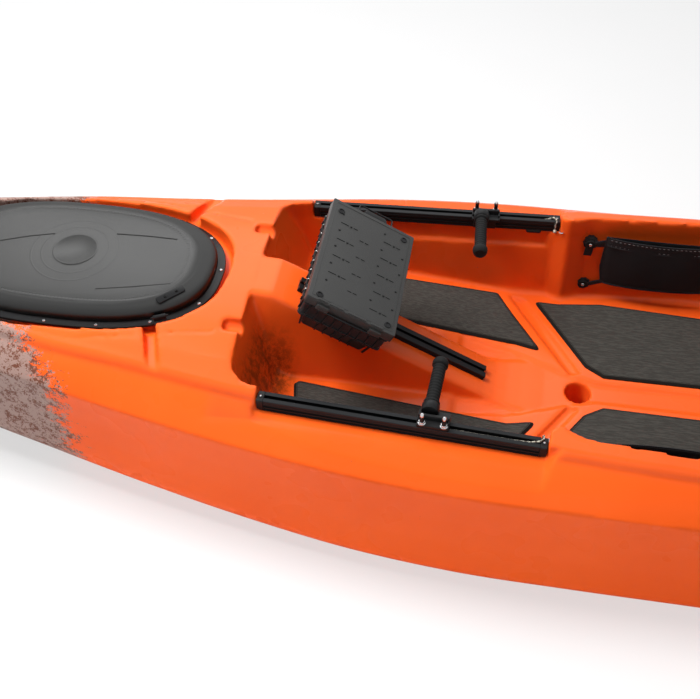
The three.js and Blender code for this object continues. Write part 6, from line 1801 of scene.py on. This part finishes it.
class KAYAK_OT_seat(bpy.types.Operator):
    """Makes the framed seat: tubes, feet, slung cloth seat and back"""
    bl_idname = "kayak.seat"
    bl_label = "Seat"

    def execute(self, context):
        self.base()
        lean = math.radians(BACK["lean"])
        up = np.array([math.sin(lean), 0, math.cos(lean)])
        forward = np.array([-math.cos(lean), 0, math.sin(lean)])
        foot = np.array([BACK["x"], 0, BACK["z"]], float)
        self.back(foot, up)

        def seat(u, v):
            return 364 + 334 * v, CLOTH_HALF * (2 * u - 1), 299.2 - 15 * sag(u, v)

        def back(u, v):
            p = foot + up * (38 + 400 * v) + forward * (17.4 - 14 * sag(u, min(v * 1.05, 1)))
            return p[0], CLOTH_HALF * (2 * u - 1), p[2]
        self.sling("seat", seat, "hull", "seat_sling", (0.49, 0.338), ["seat_base_tubes"], (34, 8),
                   (482, 336))
        self.sling("back", back, "seat_back", "back_sling", (0.49, 0.404), ["seat_back_tubes"], (8, 40),
                   (482, 402))
        return {"FINISHED"}

    def base(self):
        """The base frame's ring, cross tube and legs, its feet and the back's ears"""
        front, start, rear, half, z = (SEAT[key] for key in ("front", "start", "rear", "half", "z"))
        loop = bent([(start, -half, z), (rear, -half, z), (rear, half, z), (front, half, z),
                     (front, -half, z), (start, -half, z)], SEAT["bend"], 10)
        tubes = [sweep(loop[:-1], circle(TUBE, 24), closed=True),
                 rod((SEAT["cross"], 6 - half, z), (SEAT["cross"], half - 6, z), CROSS_TUBE, 24)]
        tubes += [rod((x, y, 160), (x, y, z - 6), TUBE - 1.4, 24) for x, y in LEGS]
        piece("seat_base_tubes", joined(tubes), "dark_aluminium", ["seat_base_frame"])
        feet = [turned(profile, 36, (x, y, 0)) for x, y in LEGS for profile in (LEG_FOOT, LEG_COLLAR)]
        ear = rounded(EAR_PLATE, 6)
        feet += [bevelled(skin([[(x, s * y, z) for x, z in ear] for y in EAR_REACH]), 0.0008)
                 for s in (-1, 1)]
        piece("seat_feet_and_ears", joined(feet), "black_plastic")

    def back(self, foot, up):
        """The folding back's tubes, its knuckles and pivot pins"""
        half = SEAT["half"]
        left, right, bar = foot + [0, -half, 0], foot + [0, half, 0], foot + up * BACK["cross"]
        top = up * BACK["height"]
        path = bent([left - up * 4, left + top, right + top, right - up * 4], BACK["bend"], 12)
        tubes = [sweep(path, circle(TUBE, 24)),
                 rod(bar + [0, 6 - half, 0], bar + [0, half - 6, 0], CROSS_TUBE, 24)]
        knuckles = [turned(KNUCKLE, 32, pivot, (0, 1, 0)) for pivot in (left, right)]
        pins = [turned(PIN, 28, (BACK["x"], s * 250.2, BACK["z"]), (0, s, 0)) for s in (-1, 1)]
        piece("seat_back_tubes", joined(tubes), "dark_aluminium", ["seat_back_frame"], "seat_back")
        piece("seat_back_knuckles", joined(knuckles), "black_plastic", body="seat_back")
        piece("seat_pivot_pins", joined(pins), "bare_steel")

    def sling(self, name, surface, body, node, cut, rests_on, corners, size):
        """A cloth held between tubes, its corners rounded, with bound edges and a ribbed middle"""
        n, m = CLOTH_CELLS
        half = size[0] / 2

        def squeezed(u, v):
            radius = corners[0] if v < 0.5 else corners[1]
            near = min(v, 1 - v) * size[1]
            inset = 0
            if near < radius:
                inset = radius - math.sqrt(max(radius ** 2 - (radius - near) ** 2, 0))
            return 0.5 + (u - 0.5) * (half - inset) / half
        grid = np.array([[surface(squeezed(i / n, j / m), j / m) for i in range(n + 1)]
                         for j in range(m + 1)])
        faces = [(j * (n + 1) + i, j * (n + 1) + i + 1, (j + 1) * (n + 1) + i + 1, (j + 1) * (n + 1) + i)
                 for j in range(m) for i in range(n)]
        cloth = worked(mesh_of(grid.reshape(-1, 3), faces),
                       ("SOLIDIFY", {"thickness": 0.0018, "offset": -1.0}))
        sheet = piece(f"{name}_cloth", cloth, "black_fabric", [node], body, sharp=None)
        rim = np.concatenate([grid[0], grid[1:, -1], grid[-1, -2::-1], grid[-2:0:-1, 0]])
        keep = [0]
        for i in range(1, len(rim)):
            if np.linalg.norm(rim[i] - rim[keep[-1]]) > 3:
                keep.append(i)
        binding = sweep(rim[keep], [(a * 3.4, b * 2.2) for a, b in circle(1, 8)], closed=True)
        bands = []
        for share in (0.3, 0.7):
            column = grid[:, int(round(share * n))]
            bands.append(sweep(column, [(-1.2, -16), (1.2, -16), (1.2, 16), (-1.2, 16)],
                               up=np.cross(column[1] - column[0], [0, 1.0, 0])))
        trim = piece(f"{name}_cloth_binding", joined([binding, *bands]), "webbing", body=body)


# parts kept from the frame

class KAYAK_OT_carried(bpy.types.Operator):
    """Gives CAD nodes whose shape is right their finish and softened edges"""
    bl_idname = "kayak.carried"
    bl_label = "Carried-over parts"

    def execute(self, context):
        slots = {part["node"]: part["material_slot"] for part in frame["record"]["subparts"]}
        slots["box_hinge_pin"] = "gloss_black"
        work = (("WELD", {"merge_threshold": 1e-5}),
                ("DECIMATE", {"decimate_type": "DISSOLVE", "angle_limit": math.radians(1)}),
                ("BEVEL", {"width": sizes().small_edge, "segments": 2, "limit_method": "ANGLE",
                           "angle_limit": math.radians(32), "harden_normals": True}))
        for name, obj in frame["nodes"].items():
            if obj.hide_render:
                continue
            mesh = obj.data
            mesh.polygons.foreach_set("use_smooth", [True] * len(mesh.polygons))
            for kind, settings in work:
                modifier = obj.modifiers.new(kind.lower(), kind)
                for key, value in settings.items():
                    setattr(modifier, key, value)
            mesh.materials.clear()
            mesh.materials.append(finish(slots[name]))
        return {"FINISHED"}


# stage

# The camera's place in metres, its turns in degrees and its focal length in pixels of a 700 wide image
CAMERA = {"place": (-0.28384, -1.57355, 1.91334), "around": 10.43, "height": 47.0, "roll": -1.11,
          "focal": 1064.15, "image": 700, "sensor": 36}
GROUND_HALF, GROUND_Z = 9000, -0.5
GROUND_PAINT = ((0.86, 0.86, 0.86), (0.9, 0.9, 0.9))
GROUND_GLOW = 0.62
# The sky that lights matt surfaces, and the one that the camera and reflections see
SKIES = (((0.93, 0.96, 1), 0.1), ((1, 1, 1), 1.0))
# Each lamp's place, aim, watts, size and the part of the surfaces that it lights
LAMPS = (
    ("bow_key", (-2.1, 0.3, 3.0), (-0.5, 0, 0.3), 150, (1.4, 1.4), "diffuse"),
    ("overhead_softbox", (-0.2, 0.1, 3.2), (-0.2, 0, 0.3), 26, (2.0, 0.8), "diffuse"),
    ("sheen_softbox", (-1.5, 3.2, 3.4), (-0.7, 0, 0.3), 66, (4.2, 2.2), "glossy"),
    ("near_strip", (-0.7, -2.2, 2.6), (-0.5, 0, 0.3), 6, (3.4, 0.1), "both"),
    ("flank_softbox", (-0.5, -3.4, 0.3), (-0.4, 0, 0.25), 32, (3.6, 0.5), "diffuse"),
)


def area_light(name, place, aim, energy, size, lights):
    """A soft lamp, for the matt or the glossy part of the surfaces or for both"""
    data = bpy.data.lights.new(name, "AREA")
    data.shape, (data.size, data.size_y), data.energy = "RECTANGLE", size, energy
    light = bpy.data.objects.new(name, data)
    bpy.context.scene.collection.objects.link(light)
    light.visible_glossy = lights != "diffuse"
    light.visible_diffuse = lights != "glossy"
    light.location = place
    light.rotation_euler = (Vector(aim) - Vector(place)).to_track_quat("-Z", "Y").to_euler()


class KAYAK_OT_stage(bpy.types.Operator):
    """Adds the camera, the pale floor and the soft light"""
    bl_idname = "kayak.stage"
    bl_label = "Stage"

    def execute(self, context):
        context.scene.view_settings.view_transform = "Standard"
        self.camera(context.scene)
        self.ground(context.scene)
        self.sky(context.scene)
        for lamp in LAMPS:
            area_light(*lamp)
        return {"FINISHED"}

    def camera(self, scene):
        """The camera, turned by its angles"""
        around, height, roll = (math.radians(CAMERA[key]) for key in ("around", "height", "roll"))
        back = Vector((math.sin(around) * math.cos(height), -math.cos(around) * math.cos(height),
                       math.sin(height)))
        right = Vector((math.cos(around), math.sin(around), 0))
        up = right.cross(-back)
        across = right * math.cos(roll) + up * math.sin(roll)
        upward = up * math.cos(roll) - right * math.sin(roll)
        data = bpy.data.cameras.new("camera")
        data.sensor_width = CAMERA["sensor"]
        data.lens = CAMERA["focal"] / CAMERA["image"] * CAMERA["sensor"]
        data.clip_start, data.clip_end = 0.05, 60
        camera = bpy.data.objects.new("camera", data)
        scene.collection.objects.link(camera)
        camera.matrix_world = Matrix.Translation(CAMERA["place"]) @ Matrix(
            (across, upward, back)).transposed().to_4x4()
        scene.camera = camera

    def ground(self, scene):
        """A pale floor that looks nearly white to the camera"""
        floor = Finish("pale_floor")
        rays = floor.node("ShaderNodeLightPath")
        floor.surface(base_color=floor.mix(floor.noise(3.0, 2.0), *GROUND_PAINT), roughness=0.8,
                      specular_ior_level=0.2)
        glow = floor.node("ShaderNodeEmission", None, {"Color": (1, 1, 1), "Strength": 1.0})
        shares = floor.node("ShaderNodeMixShader", None, {
            0: rays("Is Camera Ray") * GROUND_GLOW, 1: Signal(floor, floor.shader.outputs[0]), 2: glow()})
        floor.put(floor.tree.nodes["Material Output"].inputs["Surface"], shares())
        half = GROUND_HALF
        mesh = mesh_of(flat([(-half, -half), (half, -half), (half, half), (-half, half)], GROUND_Z),
                       [(0, 1, 2, 3)])
        mesh.materials.append(floor.material)
        ground = bpy.data.objects.new("floor", mesh)
        scene.collection.objects.link(ground)

    def sky(self, scene):
        """A dim sky for matt surfaces and a white one for the camera and reflections"""
        scene.world = world = bpy.data.worlds.new("studio")
        world.use_nodes = True
        tree = world.node_tree
        tree.nodes.clear()
        path, either, pick, out = [tree.nodes.new(f"ShaderNode{kind}")
                                   for kind in ("LightPath", "Math", "MixShader", "OutputWorld")]
        either.operation = "MAXIMUM"
        links = [(path.outputs["Is Camera Ray"], either.inputs[0]),
                 (path.outputs["Is Glossy Ray"], either.inputs[1]), (either.outputs[0], pick.inputs[0]),
                 (pick.outputs[0], out.inputs["Surface"])]
        for socket, (tint, strength) in zip(pick.inputs[1:], SKIES):
            background = tree.nodes.new("ShaderNodeBackground")
            background.inputs["Color"].default_value = (*tint, 1)
            background.inputs["Strength"].default_value = strength
            links.append((background.outputs[0], socket))
        for link in links:
            tree.links.new(*link)


# add-on

STEPS = [KAYAK_OT_stage, KAYAK_OT_foot_rails, KAYAK_OT_tackle_box, KAYAK_OT_lashing, KAYAK_OT_hull,
         KAYAK_OT_hatch, KAYAK_OT_deck_pads, KAYAK_OT_pouches, KAYAK_OT_rod_holders, KAYAK_OT_handles,
         KAYAK_OT_seat, KAYAK_OT_carried]


class KAYAK_PT_panel(bpy.types.Panel):
    """Lists the steps that dress the kayak"""
    bl_idname = "KAYAK_PT_panel"
    bl_label = "Kayak"
    bl_space_type = "VIEW_3D"
    bl_region_type = "UI"
    bl_category = "Kayak"

    def draw(self, context):
        for step in STEPS:
            self.layout.operator(step.bl_idname, text=step.bl_label)


CLASSES = [KayakSizes, KayakColours, *STEPS, KAYAK_PT_panel]


def register():
    """Adds the add-on's classes and properties to Blender"""
    for cls in CLASSES:
        bpy.utils.register_class(cls)
    bpy.types.Scene.kayak_sizes = bpy.props.PointerProperty(type=KayakSizes)
    bpy.types.Scene.kayak_colours = bpy.props.PointerProperty(type=KayakColours)


def unregister():
    """Takes the add-on's classes and properties out of Blender"""
    del bpy.types.Scene.kayak_colours
    del bpy.types.Scene.kayak_sizes
    for cls in reversed(CLASSES):
        bpy.utils.unregister_class(cls)


def main():
    """Dresses the kayak step by step"""
    register()
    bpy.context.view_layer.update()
    for step in STEPS:
        group, name = step.bl_idname.split(".")
        getattr(getattr(bpy.ops, group), name)()


if __name__ == "__main__":
    main()
